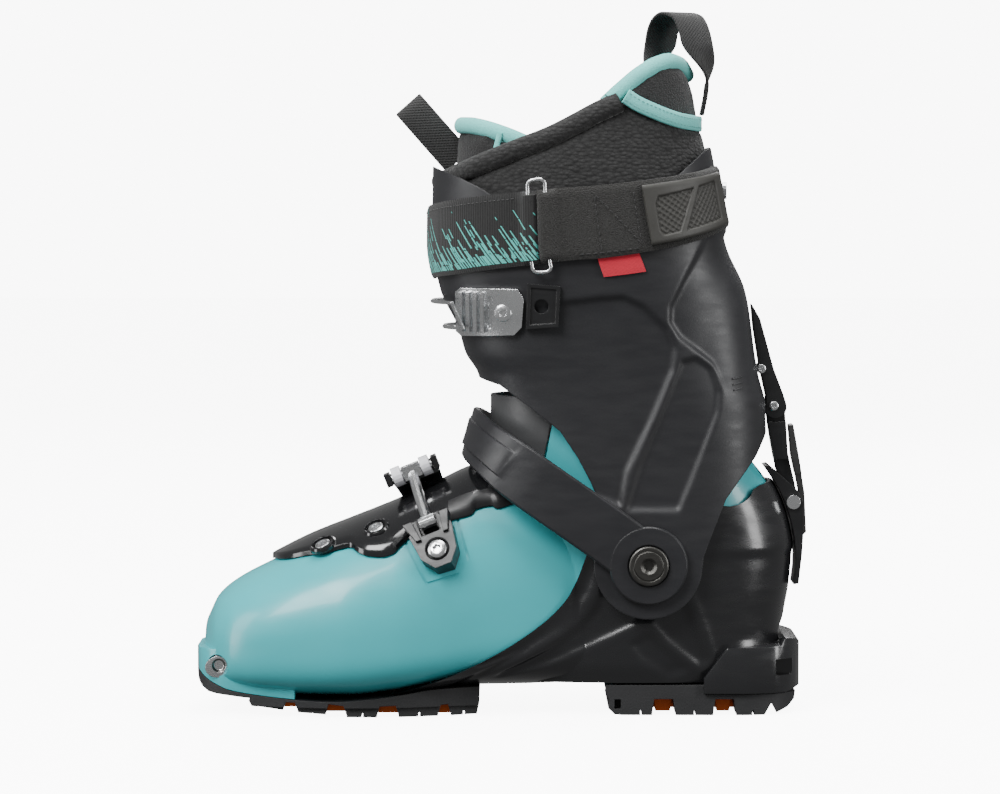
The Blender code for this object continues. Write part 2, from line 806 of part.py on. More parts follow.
def forefoot_lever():
    """Forked lever that closes over the instep towards the lateral side."""
    path = [(6.5, 0), (14, 0.2), (24, -1.8), (34, -5.6), (44, -11.4), (51, -17.4), (56, -22.6)]
    rings = []
    for index, (y, z) in enumerate(path):
        a, b = path[max(index - 1, 0)], path[min(index + 1, len(path) - 1)]
        along = Vector((0, b[0] - a[0], b[1] - a[1])).normalized()
        up = Vector((0, -along.z, along.y)) * 1.5
        half = 13.2 - 3.6 * index / (len(path) - 1)
        centre = Vector((0, y, z))
        wide = Vector((half, 0, 0))
        rings.append([centre - wide - up, centre + wide - up, centre + wide + up, centre - wide + up])
    lever = placed(
        moved(ring_mesh(rings), lever_frame()), "forefoot_lever", black_plastic(), origin=CROSSHEAD
    )
    for side in (-1, 1):
        low, high = sorted((side * 10.6, side * 13.2))
        arm = moved(box_mesh((low, -4.5, -3.2), (high, 9, 3.2)), lever_frame())
        boolean(lever, "UNION", cutter(arm, f"lever_arm_{side + 2}"))


def forefoot_catch():
    """Toothed catch on the lateral side that the closed lever pulls against."""
    x, y = -36.0, 49.5
    frame = frame_at(foot_top(x, y, 0), FOOT_SLOPE, foot_normal(x, y))
    plate = placed(moved(box_mesh((-8, -12, -4), (8, 12, 2.6)), frame), "forefoot_catch", steel())
    boolean(plate, "DIFFERENCE", cutter(foot_mesh(0.4), "catch_under"))
    for index in range(4):
        y = -9 + 5 * index
        tooth = moved(box_mesh((-7, y, 2.0), (7, y + 1.8, 4.4)), frame)
        boolean(plate, "UNION", cutter(tooth, f"catch_tooth_{index}"))


def instep_flap():
    """Grey inner flap that closes the shell's throat above the instep."""
    flap = placed(tube_mesh(ANKLE, 0, low=106, high=150), "instep_flap", grey_plastic())
    side = [(-10, 108.5), (18.4, 107.5), (24.2, 137.2), (22, 143), (4, 152), (-10, 150)]
    boolean(flap, "INTERSECT", cutter(prism_mesh(side, -60, 60), "flap_side"))
    boolean(flap, "DIFFERENCE", cutter(tube_mesh(ANKLE, -2.6, low=100, high=170), "flap_hollow"))
    return flap


STRAP_PATH = [
    (PIVOT_X, -49.0, PIVOT_Z),
    (52, -49.0, 85.4),
    (34, -48.9, 98),
    (18, -47.6, 109),
    (6, -43.6, 117.5),
    (-3, -36, 124),
    (-9.2, -25, 128.6),
    (-12.6, -12.5, 131.2),
    (-13.6, 0, 132),
]


def strap_frame(path, index, side):
    """Point, width direction and outward direction along the instep strap."""
    here = Vector(path[index])
    before = Vector(path[max(index - 1, 0)])
    after = Vector(path[min(index + 1, len(path) - 1)])
    along = (after - before).normalized()
    if index == len(path) - 1:
        along = Vector((0, 1, 0))
    part = index / (len(path) - 1)
    wide = Vector((0.6 * (1 - part) + 0.26 * part, 0, 0.8 * (1 - part) + 0.966 * part)).normalized()
    outward = along.cross(wide).normalized()
    wide = outward.cross(along).normalized()
    if outward.y * side < 0 or (abs(outward.y) < 1e-6 and outward.x > 0):
        outward = -outward
    return here, wide, outward


def strap_rings(side, start, end, thickness=3.0):
    """Rectangular sections of the instep strap, from the pivot side towards the front."""
    path = [(x, y * -side, z) for x, y, z in STRAP_PATH]
    rings = []
    for index in range(start, end + 1):
        here, wide, outward = strap_frame(path, index, side)
        half = 13.2 if index < 6 else 12.0
        t = outward * thickness / 2
        w = wide * half
        rings.append([here - w - t, here + w - t, here + w + t, here - w + t])
    return rings


def strap_end(side, name):
    """Round end of the strap, with the hole for the ankle rivet."""
    low, high = sorted((side * 47.5, side * 50.5))
    return cutter(rod_mesh((PIVOT_X, low, PIVOT_Z), (PIVOT_X, high, PIVOT_Z), 18.4, 28), name)


def instep_strap():
    """Wide strap that holds the heel back, from the medial pivot over the instep."""
    last = len(STRAP_PATH) - 1
    rings = strap_rings(-1, 0, last)
    mirrored = strap_rings(1, last - 3, last - 1)
    for ring in reversed(mirrored):
        rings.append(ring)
    strap = placed(ring_mesh(rings), "instep_strap", black_plastic(), origin=(PIVOT_X, 0, PIVOT_Z))
    boolean(strap, "UNION", strap_end(-1, "strap_end_medial"))
    boolean(strap, "DIFFERENCE", rivet_hole("strap_rivet_hole", 5.3))
    return strap


def instep_buckle():
    """Lever, base and wire bail that close the instep strap on the lateral side."""
    path = [(x, -y, z) for x, y, z in STRAP_PATH]
    here, wide, outward = strap_frame(path, 2, 1)
    along = Vector(path[3]) - Vector(path[1])
    frame = frame_at(here + outward * 1.5, along, outward)
    base = placed(moved(box_mesh((-12, -9, 0.4), (9, 9, 2.4)), frame), "instep_buckle_base", black_plastic())
    for side in (-1, 1):
        low, high = sorted((side * 6.9, side * 9))
        ear = moved(box_mesh((3, low, 2), (9, high, 7.5)), frame)
        boolean(base, "UNION", cutter(ear, f"instep_ear_{side + 2}"))
    hinge = frame @ Vector((6, 0, 5.2))
    blade = moved(box_mesh((-30, -6.3, 3.2), (8.2, 6.3, 6.6)), frame)
    lever = placed(blade, "instep_lever", steel(), origin=hinge)
    bevelled(lever, 0.6)
    ends = [strap_frame(STRAP_PATH_FAR, i, 1) for i in (4, 5, 6)]
    rise = [frame @ Vector((1.5, 5.2, 8.2)), frame @ Vector((12, 5.2, 7.2))]
    fall = [frame @ Vector((12, -5.2, 7.2)), frame @ Vector((1.5, -5.2, 8.2))]
    front = [p + o * 4.6 + w * 5.2 for p, w, o in ends]
    back = [p + o * 4.6 - w * 5.2 for p, w, o in reversed(ends)]
    start = frame @ Vector((1.5, 0, 8.2))
    wire("instep_bail", rise + front + back + fall, 0.9, steel(), cyclic=True, origin=start)


STRAP_PATH_FAR = [(x, -y, z) for x, y, z in STRAP_PATH]


def instep_ladder():
    """Steel rack near the end of the instep strap."""
    rings = []
    for index in (5, 6, 7):
        here, wide, outward = strap_frame(STRAP_PATH_FAR, index, 1)
        low, high = outward * 2.1, outward * 3.4
        first, second = here - wide * 7, here + wide * 7
        rings.append([first + low, second + low, second + high, first + high])
    placed(ring_mesh(rings), "instep_ladder", steel())


def instep_strap_arm():
    """Lateral arm of the instep strap, which carries its buckle."""
    arm = placed(
        ring_mesh(strap_rings(1, 0, 3)), "instep_strap_arm", black_plastic(), origin=(PIVOT_X, 0, PIVOT_Z)
    )
    boolean(arm, "UNION", strap_end(1, "strap_end_lateral"))
    boolean(arm, "DIFFERENCE", rivet_hole("arm_rivet_hole", 5.3))
    return arm


# ------------------------------------------------------------------ cuff


def cuff_outline():
    """Side outline of the cuff."""
    return (
        [(-34, 258.5), (-34, 160), (-16, 165), (-7.5, 158.5), (0.5, 155.7), (28.6, 134.6)]
        + [(42.7, 111.2), (54, 96)]
        + arc(25.5, 60, 262, 12)
        + [(97.6, 80), (106.5, 102.7), (114.9, 114), (123.8, 126.6), (130, 134), (130, 240)]
        + [(101.6, 259), (99.8, 268), (90, 261), (79, 244), (20, 238), (-2, 241), (-18, 252)]
    )


def cuff():
    """Hinged upper shell round the shin."""
    body = placed(tube_mesh(CUFF, 0, high=275), "cuff", black_plastic(), origin=(PIVOT_X, 0, PIVOT_Z))
    boolean(body, "INTERSECT", cutter(prism_mesh(cuff_outline(), -80, 80), "cuff_side"))
    boolean(body, "DIFFERENCE", cutter(tube_mesh(CUFF, -CUFF_WALL, high=300), "cuff_hollow"))
    boolean(body, "DIFFERENCE", rivet_hole("cuff_rivet_hole", 5.4))
    notch = box_mesh((100, -15, 90), (140, 15, 142))
    boolean(body, "DIFFERENCE", cutter(notch, "cuff_rear_notch"))
    return body


def cuff_plate(name, look, turns, low, high, inner=0.5, outer=2.5, levels=2):
    band = cuff_band_mesh(turns, lambda t: low, lambda t: high, inner, outer, levels)
    return placed(band, name, look)


def cuff_pin(name, turn, z, inner, outer, radius, look, sides=14):
    """Round head that stands on the cuff's wall."""
    start = cuff_point(turn, z, inner)
    end = cuff_point(turn, z, outer)
    return placed(rod_mesh(start, end, radius, sides), name, look)


def cuff_ladder():
    """Steel rack with teeth that the cuff's bail hooks onto."""
    plate = cuff_plate("cuff_ladder", steel(), spread(18, 66, 8), 178, 199, 0.5, 2.3)
    for index, turn in enumerate((22, 29, 36, 43)):
        tooth = cuff_band_mesh([turn, turn + 3], lambda t: 179, lambda t: 198, 1.4, 4.6, 1)
        boolean(plate, "UNION", cutter(tooth, f"cuff_tooth_{index}"))
    hole = rod_mesh(cuff_point(58, 188.5, 0), cuff_point(58, 188.5, 6), 2.9, 14)
    boolean(plate, "DIFFERENCE", cutter(hole, "ladder_hole"))
    return plate


def cuff_details():
    """Small pieces on the cuff's wall: keeper pad, screws, strap rivet and plain label."""
    cuff_plate("cuff_keeper", black_plastic(), spread(70, 84, 3), 177.5, 198.5, 0.5, 2.6)
    cuff_pin("cuff_ladder_screw", 58, 188.5, 3.2, 4.6, 3.9, steel())
    cuff_pin("strap_rivet", 178, 247, 1.4, 3.4, 4.0, steel())
    turns = spread(92, 104, 4)
    label = cuff_band_mesh(turns, lambda t: strap_low(t) - 9, lambda t: strap_low(t) - 0.6, 0.6, 1.4, 1)
    placed(label, "strap_label", red_label())


def cuff_buckle():
    """Lateral lever of the cuff's buckle, its base and its wire bail."""
    cuff_plate("cuff_buckle_base", black_plastic(), spread(-70, -46, 5), 180, 197, 0.5, 3.0)
    hinge = cuff_point(-50, 188.5, 6.2)
    lever = cuff_band_mesh(
        spread(-52, -92, 7), lambda t: 181.5, lambda t: 195.5, 3.5, 6.5, 2
    )
    arm = placed(lever, "cuff_buckle_lever", steel(), origin=hinge)
    points = [cuff_point(t, 194.5, 6.4) for t in spread(-58, 32, 12)]
    points += [cuff_point(t, 182.5, 6.4) for t in spread(32, -58, 12)]
    rise = cuff_point(-58, 188.5, 8.2)
    lifts = [(p, cuff_point(t, 188.5, 8.2) - cuff_point(t, 188.5, 6.4), w) for p, t, w in bail_lift(points)]
    points = [p + lift * w for p, lift, w in lifts]
    bail = wire("cuff_bail", points, 1.0, steel(), cyclic=True, origin=rise)
    return arm, bail


def bail_lift(points):
    """Lifts the bail's rear end clear over the lever that carries it."""
    turns = spread(-58, 32, 12) + spread(32, -58, 12)
    for point, turn in zip(points, turns):
        yield point, turn, max(0.0, (-turn - 30) / 14.0)


# ------------------------------------------------------------------ power strap


STRAP_LINE = [(0, 205, 239), (40, 208, 243), (76, 212.5, 247), (120, 221, 253), (166, 231, 259)]


def strap_low(turn):
    """Height of the strap's lower edge at a turn from the front."""
    return between(STRAP_LINE, abs(turn))[0]


def strap_high(turn):
    return between(STRAP_LINE, abs(turn))[1]


def power_strap():
    """Webbing strap round the top of the cuff, printed at the front."""
    turns = spread(-166, 74, 30)
    band = cuff_band_mesh(turns, strap_low, strap_high, 0.6, 2.6, 2)
    return placed(band, "power_strap", black_fabric())


def velcro_tab():
    """Felt tab that folds through the loop and grips itself."""
    turns = spread(83, 163, 12)
    band = cuff_band_mesh(turns, strap_low, strap_high, 0.6, 3.6, 2)
    return placed(band, "velcro_tab", black_fabric())


def grip_pad():
    """Moulded grip at the end of the tab."""
    turns = spread(110, 158, 9)
    band = cuff_band_mesh(
        turns, lambda t: strap_low(t) + 4, lambda t: strap_high(t) - 4, 4.2, 5.6, 2
    )
    return placed(band, "grip_pad", black_rubber())


def strap_loop():
    """Steel loop between the two halves of the power strap."""
    turns = (76.5, 80.5)
    points = []
    for z in spread(211, 249, 4):
        points.append(cuff_point(turns[0], z, 4.6))
    for z in spread(249.5, 211.5, 4):
        points.append(cuff_point(turns[1], z, 4.6))
    middle = cuff_point(78.5, 230, 4.6)
    return wire("strap_loop", points, 0.9, steel(), cyclic=True, origin=middle)


# ------------------------------------------------------------------ liner above the ankle

LINER_OUT = -CUFF_WALL - 0.8
LOOP_X = 85.6
LOOP_TURN = math.radians(50)


def liner_top_line():
    """Side outline of the liner shaft above the cuff."""
    return [(95, 277), (78, 281), (60, 289.5), (48, 286), (30, 276), (8, 265), (-8, 257), (-40, 250)]


def liner_shaft():
    """Padded shaft of the liner, inside the cuff."""
    shaft = placed(
        tube_mesh(CUFF, LINER_OUT, low=100, high=300, count=LINER_POINTS),
        "liner_shaft",
        black_fabric(),
        origin=(PIVOT_X, 0, PIVOT_Z),
    )
    lower = arc(FRONT_R + 1.2, -60, 27, 8)
    side = liner_top_line() + [(-40, 168), (-8, 168), (26, 163)] + list(reversed(lower)) + [(150, 108)]
    boolean(shaft, "INTERSECT", cutter(prism_mesh(side, -80, 80), "liner_shaft_side"))
    hollow = tube_mesh(CUFF, LINER_OUT - 6.5, low=90, high=310, count=LINER_POINTS)
    boolean(shaft, "DIFFERENCE", cutter(hollow, "liner_shaft_hollow"))
    return shaft


def liner_collar():
    """Soft rear collar that rises above the liner shaft."""
    wall = tube_mesh(CUFF, LINER_OUT - 0.6, low=270, high=315, count=LINER_POINTS)
    collar = placed(wall, "liner_collar", aqua_fabric())
    side = [(50, 287.4), (58, 296), (68, 304), (78, 308), (86, 306), (92, 296), (97, 277.4)]
    side += [(78, 281.4), (60, 289.9)]
    boolean(collar, "INTERSECT", cutter(prism_mesh(side, -80, 80), "collar_side"))
    hollow = tube_mesh(CUFF, LINER_OUT - 6.2, low=260, high=320, count=LINER_POINTS)
    boolean(collar, "DIFFERENCE", cutter(hollow, "collar_hollow"))
    return collar


def liner_tongue():
    """Padded tongue inside the front of the liner."""
    out = LINER_OUT - 6.9
    wall = tube_mesh(CUFF, out, low=170, high=290, count=LINER_POINTS)
    tongue = placed(wall, "liner_tongue", black_fabric())
    side = [(-40, 175), (6, 175), (22, 262), (12, 269), (-4, 275), (-18, 277.5), (-40, 277)]
    boolean(tongue, "INTERSECT", cutter(prism_mesh(side, -80, 80), "liner_tongue_side"))
    hollow = tube_mesh(CUFF, out - 5, 160, 300, LINER_POINTS)
    boolean(tongue, "DIFFERENCE", cutter(hollow, "liner_tongue_hollow"))
    return tongue


def rear_pull_loop():
    """Webbing loop behind the collar for pulling the boot on, twisted out towards the medial side."""
    path = [(72.5, 308.4), (72.5, 316), (75, 325), (81, 330), (89, 329.5), (95.5, 322), (98.6, 314)]
    path += [(99, 306), (98.4, 296), (96.4, 284)]
    half, thickness = 10, 1.6
    rings = []
    for i, (x, z) in enumerate(path):
        a, b = path[max(i - 1, 0)], path[min(i + 1, len(path) - 1)]
        along = Vector((b[0] - a[0], 0, b[1] - a[1])).normalized()
        side = Vector((along.z, 0, -along.x)) * thickness / 2
        centre = Vector((x - LOOP_X, 0, z))
        share = min(max((z - 300) / 18, 0), 1)
        turn = Matrix.Rotation(-LOOP_TURN * share, 4, "Z")
        ways = ((1, -1), (1, 1), (-1, 1), (-1, -1))
        corners = [centre + side * s + Vector((0, w * half, 0)) for s, w in ways]
        rings.append([turn @ corner + Vector((LOOP_X, 0, 0)) for corner in corners])
    return placed(ring_mesh(rings), "rear_pull_loop", black_fabric())


def front_pull_loop():
    """Doubled webbing strip that leans forward from the top of the liner's tongue, open at its foot."""
    outline = [(-21.8, 262.5), (-21.8, 275.5), (-31, 293), (-34.6, 292.4), (-42.6, 288), (-43.6, 285)]
    outline += [(-34.6, 262.5)]
    loop = placed(prism_mesh(outline, -5.2, 5.2), "front_pull_loop", black_fabric())
    gap = [(-10, 250), (-10, 255), (-29, 290.2), (-50, 278), (-50, 250)]
    boolean(loop, "DIFFERENCE", cutter(prism_mesh(gap, -3.6, 3.6), "front_loop_gap"))
    return loop


# ------------------------------------------------------------------ walk mechanism


def bar_mount():
    """Spine bracket screwed to the cuff, forked at its foot for the lock bar."""
    x, z = BAR_PIN
    outline = [(120.4, 193), (124.4, 186), (131, 162), (135.6, 150)]
    outline += [(x + 5.4 * math.sin(t), z + 5.4 * math.cos(t)) for t in spread(1.3, 4.2, 7)]
    outline += [(127.6, 149), (124.4, 163), (121.4, 182)]
    mount = placed(prism_mesh(outline, -7.5, 7.5), "bar_mount", black_plastic())
    boolean(mount, "DIFFERENCE", cutter(box_mesh((110, -5, 130), (150, 5, 152)), "mount_fork"))
    pin = rod_mesh((x, -6.5, z), (x, 6.5, z), 2.2, 12)
    boolean(mount, "UNION", cutter(pin, "mount_pin"))


def lock_bar():
    """Bar that swings on the mount; its narrow foot lies between the shell's pins."""
    x, z = BAR_PIN
    outline = [(x + 4.6 * math.sin(t), z + 4.6 * math.cos(t)) for t in spread(-1.6, 1.6, 7)]
    outline += [(137.8, 122), (141.2, 108), (143.2, 97), (141.0, 95.5)]
    outline += [(136.6, 106), (132.4, 114), (129.8, 128)]
    bar = placed(prism_mesh(outline, -7.4, 7.4), "lock_bar", black_plastic(), origin=(x, 0, z))
    for side in (-1, 1):
        low, high = sorted((side * 4.5, side * 12))
        for name, bottom, top in (("head", 137.0, 160), ("foot", 80, 119)):
            step = box_mesh((100, low, bottom), (160, high, top))
            boolean(bar, "DIFFERENCE", cutter(step, f"bar_{name}_{side + 2}"))
    bore = rod_mesh((x, -20, z), (x, 20, z), 2.6, 12)
    boolean(bar, "DIFFERENCE", cutter(bore, "bar_bore"))


def walk_lever():
    """Tab that swings out to free the lock bar from the shell."""
    outline = [(138.4, 135.2), (140.4, 135.6), (143.2, 120), (146.0, 103), (146.9, 84), (145.2, 82.5)]
    outline += [(144.4, 98), (142.0, 110), (139.6, 121)]
    x, z = LEVER_PIN
    lever = placed(prism_mesh(outline, -7.0, 7.0), "walk_lever", dark_steel(), origin=(x, 0, z))
    for side in (-1, 1):
        low, high = sorted((side * 4.5, side * 12))
        step = box_mesh((120, low, 70), (160, high, 112))
        boolean(lever, "DIFFERENCE", cutter(step, f"lever_waist_{side + 2}"))


def lock_bracket():
    """Bracket on the heel's spine with an ear on each side of the lock bar."""
    inner = arc(REAR_R + SKIN_OUT + 0.4, -52, -100, 8)
    ears = inner + [(142.8, 60), (144.4, 74), (145.4, 90), (145.2, 99)]
    ears += [(142.6, 104), (135, 111), (128.5, 116.5)]
    bracket = placed(prism_mesh(ears, -12.2, 12.2), "lock_bracket", black_plastic())
    room = arc(REAR_R + SKIN_OUT + 1.6, -30, -99, 10) + [(160, 59), (160, 150)]
    boolean(bracket, "DIFFERENCE", cutter(prism_mesh(room, -8.2, 8.2), "bracket_slot"))
    x, z = LOCK_PIN
    for side, name in ((-1, "lock_pin_medial"), (1, "lock_pin_lateral")):
        low, high = sorted((side * 5.0, side * 13.6))
        pin = placed(rod_mesh((x, low, z), (x, high, z), 2.2, 12), name, steel())
        head = rod_mesh((x, side * 12.5, z), (x, side * 13.8, z), 3.4, 14)
        boolean(pin, "UNION", cutter(head, name + "_head"))
        hole = rod_mesh((x, side * 7, z), (x, side * 14, z), 2.45, 12)
        boolean(bracket, "DIFFERENCE", cutter(hole, name + "_hole"))


def build():
    clear_scene()
    lower_shell()
    toe_insert()
    shell_chassis()
    heel_insert()
    heel_insert_screw()
    ankle_rivet(-1)
    ankle_rivet(1)
    sole_front()
    sole_insert_front()
    sole_heel()
    sole_insert_heel()
    boot_board()
    liner_foot()
    insole()
    tongue_cover()
    tongue_screws()
    forefoot_anchor()
    forefoot_rod()
    forefoot_rollers()
    forefoot_lever()
    forefoot_catch()
    instep_flap()
    instep_strap()
    instep_strap_arm()
    instep_buckle()
    instep_ladder()
    cuff()
    cuff_ladder()
    cuff_details()
    cuff_buckle()
    power_strap()
    velcro_tab()
    grip_pad()
    strap_loop()
    liner_shaft()
    liner_collar()
    liner_tongue()
    rear_pull_loop()
    front_pull_loop()
    bar_mount()
    lock_bar()
    walk_lever()
    lock_bracket()


build()
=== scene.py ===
"""Looks of the ski touring boot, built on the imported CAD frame.

Same frame as the CAD: toe towards -X, heel towards +X, +Z up, medial side towards -Y.
Helper functions take millimetres and make meshes in metres.
"""

import math

import bmesh
import bpy
import numpy as np
from mathutils import Matrix, Vector


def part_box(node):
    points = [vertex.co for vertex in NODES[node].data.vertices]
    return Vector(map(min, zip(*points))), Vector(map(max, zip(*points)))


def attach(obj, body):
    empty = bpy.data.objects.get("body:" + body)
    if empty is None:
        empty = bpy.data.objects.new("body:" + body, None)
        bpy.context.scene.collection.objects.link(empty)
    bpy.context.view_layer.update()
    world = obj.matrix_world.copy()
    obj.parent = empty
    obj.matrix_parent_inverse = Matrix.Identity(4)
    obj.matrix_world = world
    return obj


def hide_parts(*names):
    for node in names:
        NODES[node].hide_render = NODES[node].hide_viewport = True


MM = 0.001

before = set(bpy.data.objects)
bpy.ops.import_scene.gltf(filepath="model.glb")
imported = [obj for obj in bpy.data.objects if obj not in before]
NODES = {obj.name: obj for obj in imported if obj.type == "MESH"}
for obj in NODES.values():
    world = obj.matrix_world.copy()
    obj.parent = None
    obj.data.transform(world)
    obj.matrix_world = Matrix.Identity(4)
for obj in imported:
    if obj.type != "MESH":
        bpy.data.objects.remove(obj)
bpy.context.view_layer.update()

# Driving dimensions, the same as the CAD's
TOE_X, HEEL_X = -143.5, 142.6
PIVOT_X, PIVOT_Z = 70.0, 72.0
REAR_R, FRONT_R = 68.5, 80.0
TOE_LEDGE_Z = 31.0
SHELL_WALL, CUFF_WALL = 3.5, 3.0
SKIN_IN, SKIN_OUT = 0.45, 2.6
LINER_OUT = -3.8
WIDE = 80  # half width of a cut that goes right through the boot
SOCKET_X, SOCKET_Z = -132.7, 23.2
TONGUE_SCREWS = ((-82, -29), (-57, -31))
PUFF_CAP = 0.0016  # furthest that a puffed point may move, in metres
PUFF_FRAMES = 20
LOOP_TURN = 50
BASE, UPPER = "boot_base", "cuff_assembly"

# Foot part of the shell: x, medial and lateral half width, bottom, widest height, crown, power
FOOT = [
    (-140.6, 5, 5, 24, 30, 36, 2.2),
    (-140.0, 11, 11, 20, 30, 41, 2.2),
    (-138, 20, 20, 17, 30, 46, 2.2),
    (-134, 31, 32, 15, 31, 54, 2.2),
    (-125, 41, 43, 11.8, 32, 61.5, 2.3),
    (-108, 49, 51, 9.8, 33, 70.5, 2.3),
    (-90, 53, 55, 8.4, 34, 79.5, 2.3),
    (-70, 56, 57, 8.4, 35, 87.5, 2.3),
    (-50, 55, 57, 10.6, 36, 95.5, 2.3),
    (-30, 51, 54, 13.5, 38, 104.5, 2.3),
    (-10, 46, 49, 15.3, 42, 113, 2.4),
    (15, 42, 44, 15.3, 48, 116, 2.6),
    (45, 36, 37, 15.6, 48, 108, 2.8),
]
# Ankle tube of the shell: z, front x, rear x, half width, power
ANKLE = [
    (15.3, -4, 130, 33, 2.4),
    (25, -4, 132.5, 36.5, 2.4),
    (45, -4, 134.5, 38.8, 2.4),
    (60, -4, 137, 39.6, 2.4),
    (76, -4, 138.2, 39.8, 2.4),
    (92, -4, 135.5, 39.8, 2.4),
    (106, -4, 130, 39.8, 2.4),
    (120, -4, 121, 39.8, 2.4),
    (155, -4, 118, 39.8, 2.4),
]
# Outside of the cuff: z, front x, rear x, half width, power
CUFF = [
    (45, -2, 127, 47, 3.4),
    (125, -5, 127.5, 47, 3.2),
    (145, -7, 127, 47.3, 3.0),
    (160, -10, 123.5, 47.8, 2.9),
    (170, -16, 121.8, 48.3, 2.8),
    (182, -19.5, 120.3, 49, 2.7),
    (200, -28, 117.6, 50, 2.7),
    (222, -32, 110, 51, 2.6),
    (259, -31.5, 102.5, 52, 2.5),
    (330, -31, 90, 53, 2.5),
]
# Power strap: turn from the front, low and high edge
STRAP_LINE = [(0, 205, 239), (40, 208, 243), (76, 212.5, 247), (120, 221, 253), (166, 231, 259)]
STRAP_PATH = [
    (PIVOT_X, -49.0, PIVOT_Z),
    (52, -49.0, 85.4),
    (34, -48.9, 98),
    (18, -47.6, 109),
    (6, -43.6, 117.5),
    (-3, -36, 124),
    (-9.2, -25, 128.6),
    (-12.6, -12.5, 131.2),
    (-13.6, 0, 132),
]


# ------------------------------------------------------------------ node materials


class Nodes:
    """Short way to wire a material's nodes."""

    def __init__(self, name):
        self.material = bpy.data.materials.new(name)
        self.material.use_nodes = True
        self.tree = self.material.node_tree
        self.shader = self.tree.nodes["Principled BSDF"]
        self.place = self.add("TexCoord")

    def add(self, kind, **values):
        node = self.tree.nodes.new("ShaderNode" + kind)
        for key, value in values.items():
            if hasattr(node, key):
                setattr(node, key, value)
            else:
                node.inputs[key.replace("_", " ")].default_value = value
        return node

    def link(self, source, output, target, inlet):
        self.tree.links.new(source.outputs[output], target.inputs[inlet])

    def noise(self, scale, detail=3.0, stretch=(1, 1, 1), coords="Object", turn=(0, 0, 0)):
        mapping = self.add("Mapping")
        mapping.inputs["Scale"].default_value = stretch
        mapping.inputs["Rotation"].default_value = turn
        self.link(self.place, coords, mapping, "Vector")
        made = self.add("TexNoise")
        made.inputs["Scale"].default_value = scale
        made.inputs["Detail"].default_value = detail
        self.link(mapping, "Vector", made, "Vector")
        return made

    def spread(self, source, output, low, high, start=0.3, end=0.7):
        made = self.add("MapRange")
        made.inputs["From Min"].default_value = start
        made.inputs["From Max"].default_value = end
        made.inputs["To Min"].default_value = low
        made.inputs["To Max"].default_value = high
        self.link(source, output, made, "Value")
        return made

    def math(self, operation, a, b=None, clamp=False):
        made = self.add("Math")
        made.operation = operation
        made.use_clamp = clamp
        for index, value in enumerate((a, b)):
            if value is None:
                continue
            if isinstance(value, (int, float)):
                made.inputs[index].default_value = value
            else:
                self.tree.links.new(value, made.inputs[index])
        return made.outputs[0]

    def mix(self, factor, a, b):
        made = self.add("Mix")
        made.data_type = "RGBA"
        for name, value in (("Factor", factor), ("A", a), ("B", b)):
            socket = [s for s in made.inputs if s.name == name and s.enabled][0]
            if isinstance(value, tuple):
                socket.default_value = (*value, 1.0)
            elif isinstance(value, (int, float)):
                socket.default_value = value
            else:
                self.tree.links.new(value, socket)
        return [s for s in made.outputs if s.enabled][0]

    def bump(self, height, strength, distance, edge=None):
        made = self.add("Bump")
        made.inputs["Strength"].default_value = strength
        made.inputs["Distance"].default_value = distance
        self.tree.links.new(height, made.inputs["Height"])
        if edge:
            soft = self.add("Bevel")
            soft.samples = 4
            soft.inputs["Radius"].default_value = edge
            self.link(soft, "Normal", made, "Normal")
        self.link(made, "Normal", self.shader, "Normal")


def times(colour, factor):
    return tuple(min(c * factor, 1.0) for c in colour)


def moulded(name, colour, rough, coat=0.0, grain=900, depth=0.12, tone=0.06, edge=0.0006, metallic=0.0):
    """Moulded plastic or rubber: faint mottling, a grain and softened edges."""
    n = Nodes(name)
    cloud = n.noise(22, 4)
    share = n.spread(cloud, "Fac", 0.0, 1.0)
    colour_out = n.mix(share.outputs[0], times(colour, 1 - tone), times(colour, 1 + tone))
    n.tree.links.new(colour_out, n.shader.inputs["Base Color"])
    scuff = n.noise(60, 6, stretch=(1, 1, 4), turn=(0.2, 0.5, 0.3))
    rub = n.spread(scuff, "Fac", rough - 0.05, rough + 0.06, 0.35, 0.65)
    n.link(rub, "Result", n.shader, "Roughness")
    n.shader.inputs["Metallic"].default_value = metallic
    n.shader.inputs["Coat Weight"].default_value = coat
    n.shader.inputs["Coat Roughness"].default_value = 0.12
    fine = n.noise(grain, 2)
    n.bump(fine.outputs["Fac"], depth, 0.0003, edge)
    return n.material


def metal(name, colour, rough, stretch=(1, 14, 14), grain=260, depth=0.15, edge=0.0004):
    """Machined or pressed metal with fine parallel marks."""
    n = Nodes(name)
    marks = n.noise(grain, 3, stretch=stretch)
    cloud = n.noise(70, 3)
    share = n.spread(cloud, "Fac", 0.0, 1.0)
    colour_out = n.mix(share.outputs[0], times(colour, 0.9), times(colour, 1.05))
    n.tree.links.new(colour_out, n.shader.inputs["Base Color"])
    rub = n.spread(marks, "Fac", rough - 0.06, rough + 0.1)
    n.link(rub, "Result", n.shader, "Roughness")
    n.shader.inputs["Metallic"].default_value = 1.0
    n.bump(marks.outputs["Fac"], depth, 0.0001, edge)
    return n.material


def wave(n, axis_out, pitch, offset=0.0):
    """Height from 0 to 1 of threads with a pitch in metres along a coordinate."""
    turns = n.math("MULTIPLY", axis_out, 2 * math.pi / pitch)
    if offset:
        turns = n.math("ADD", turns, offset)
    return n.math("ADD", n.math("MULTIPLY", n.math("SINE", turns), 0.5), 0.5)


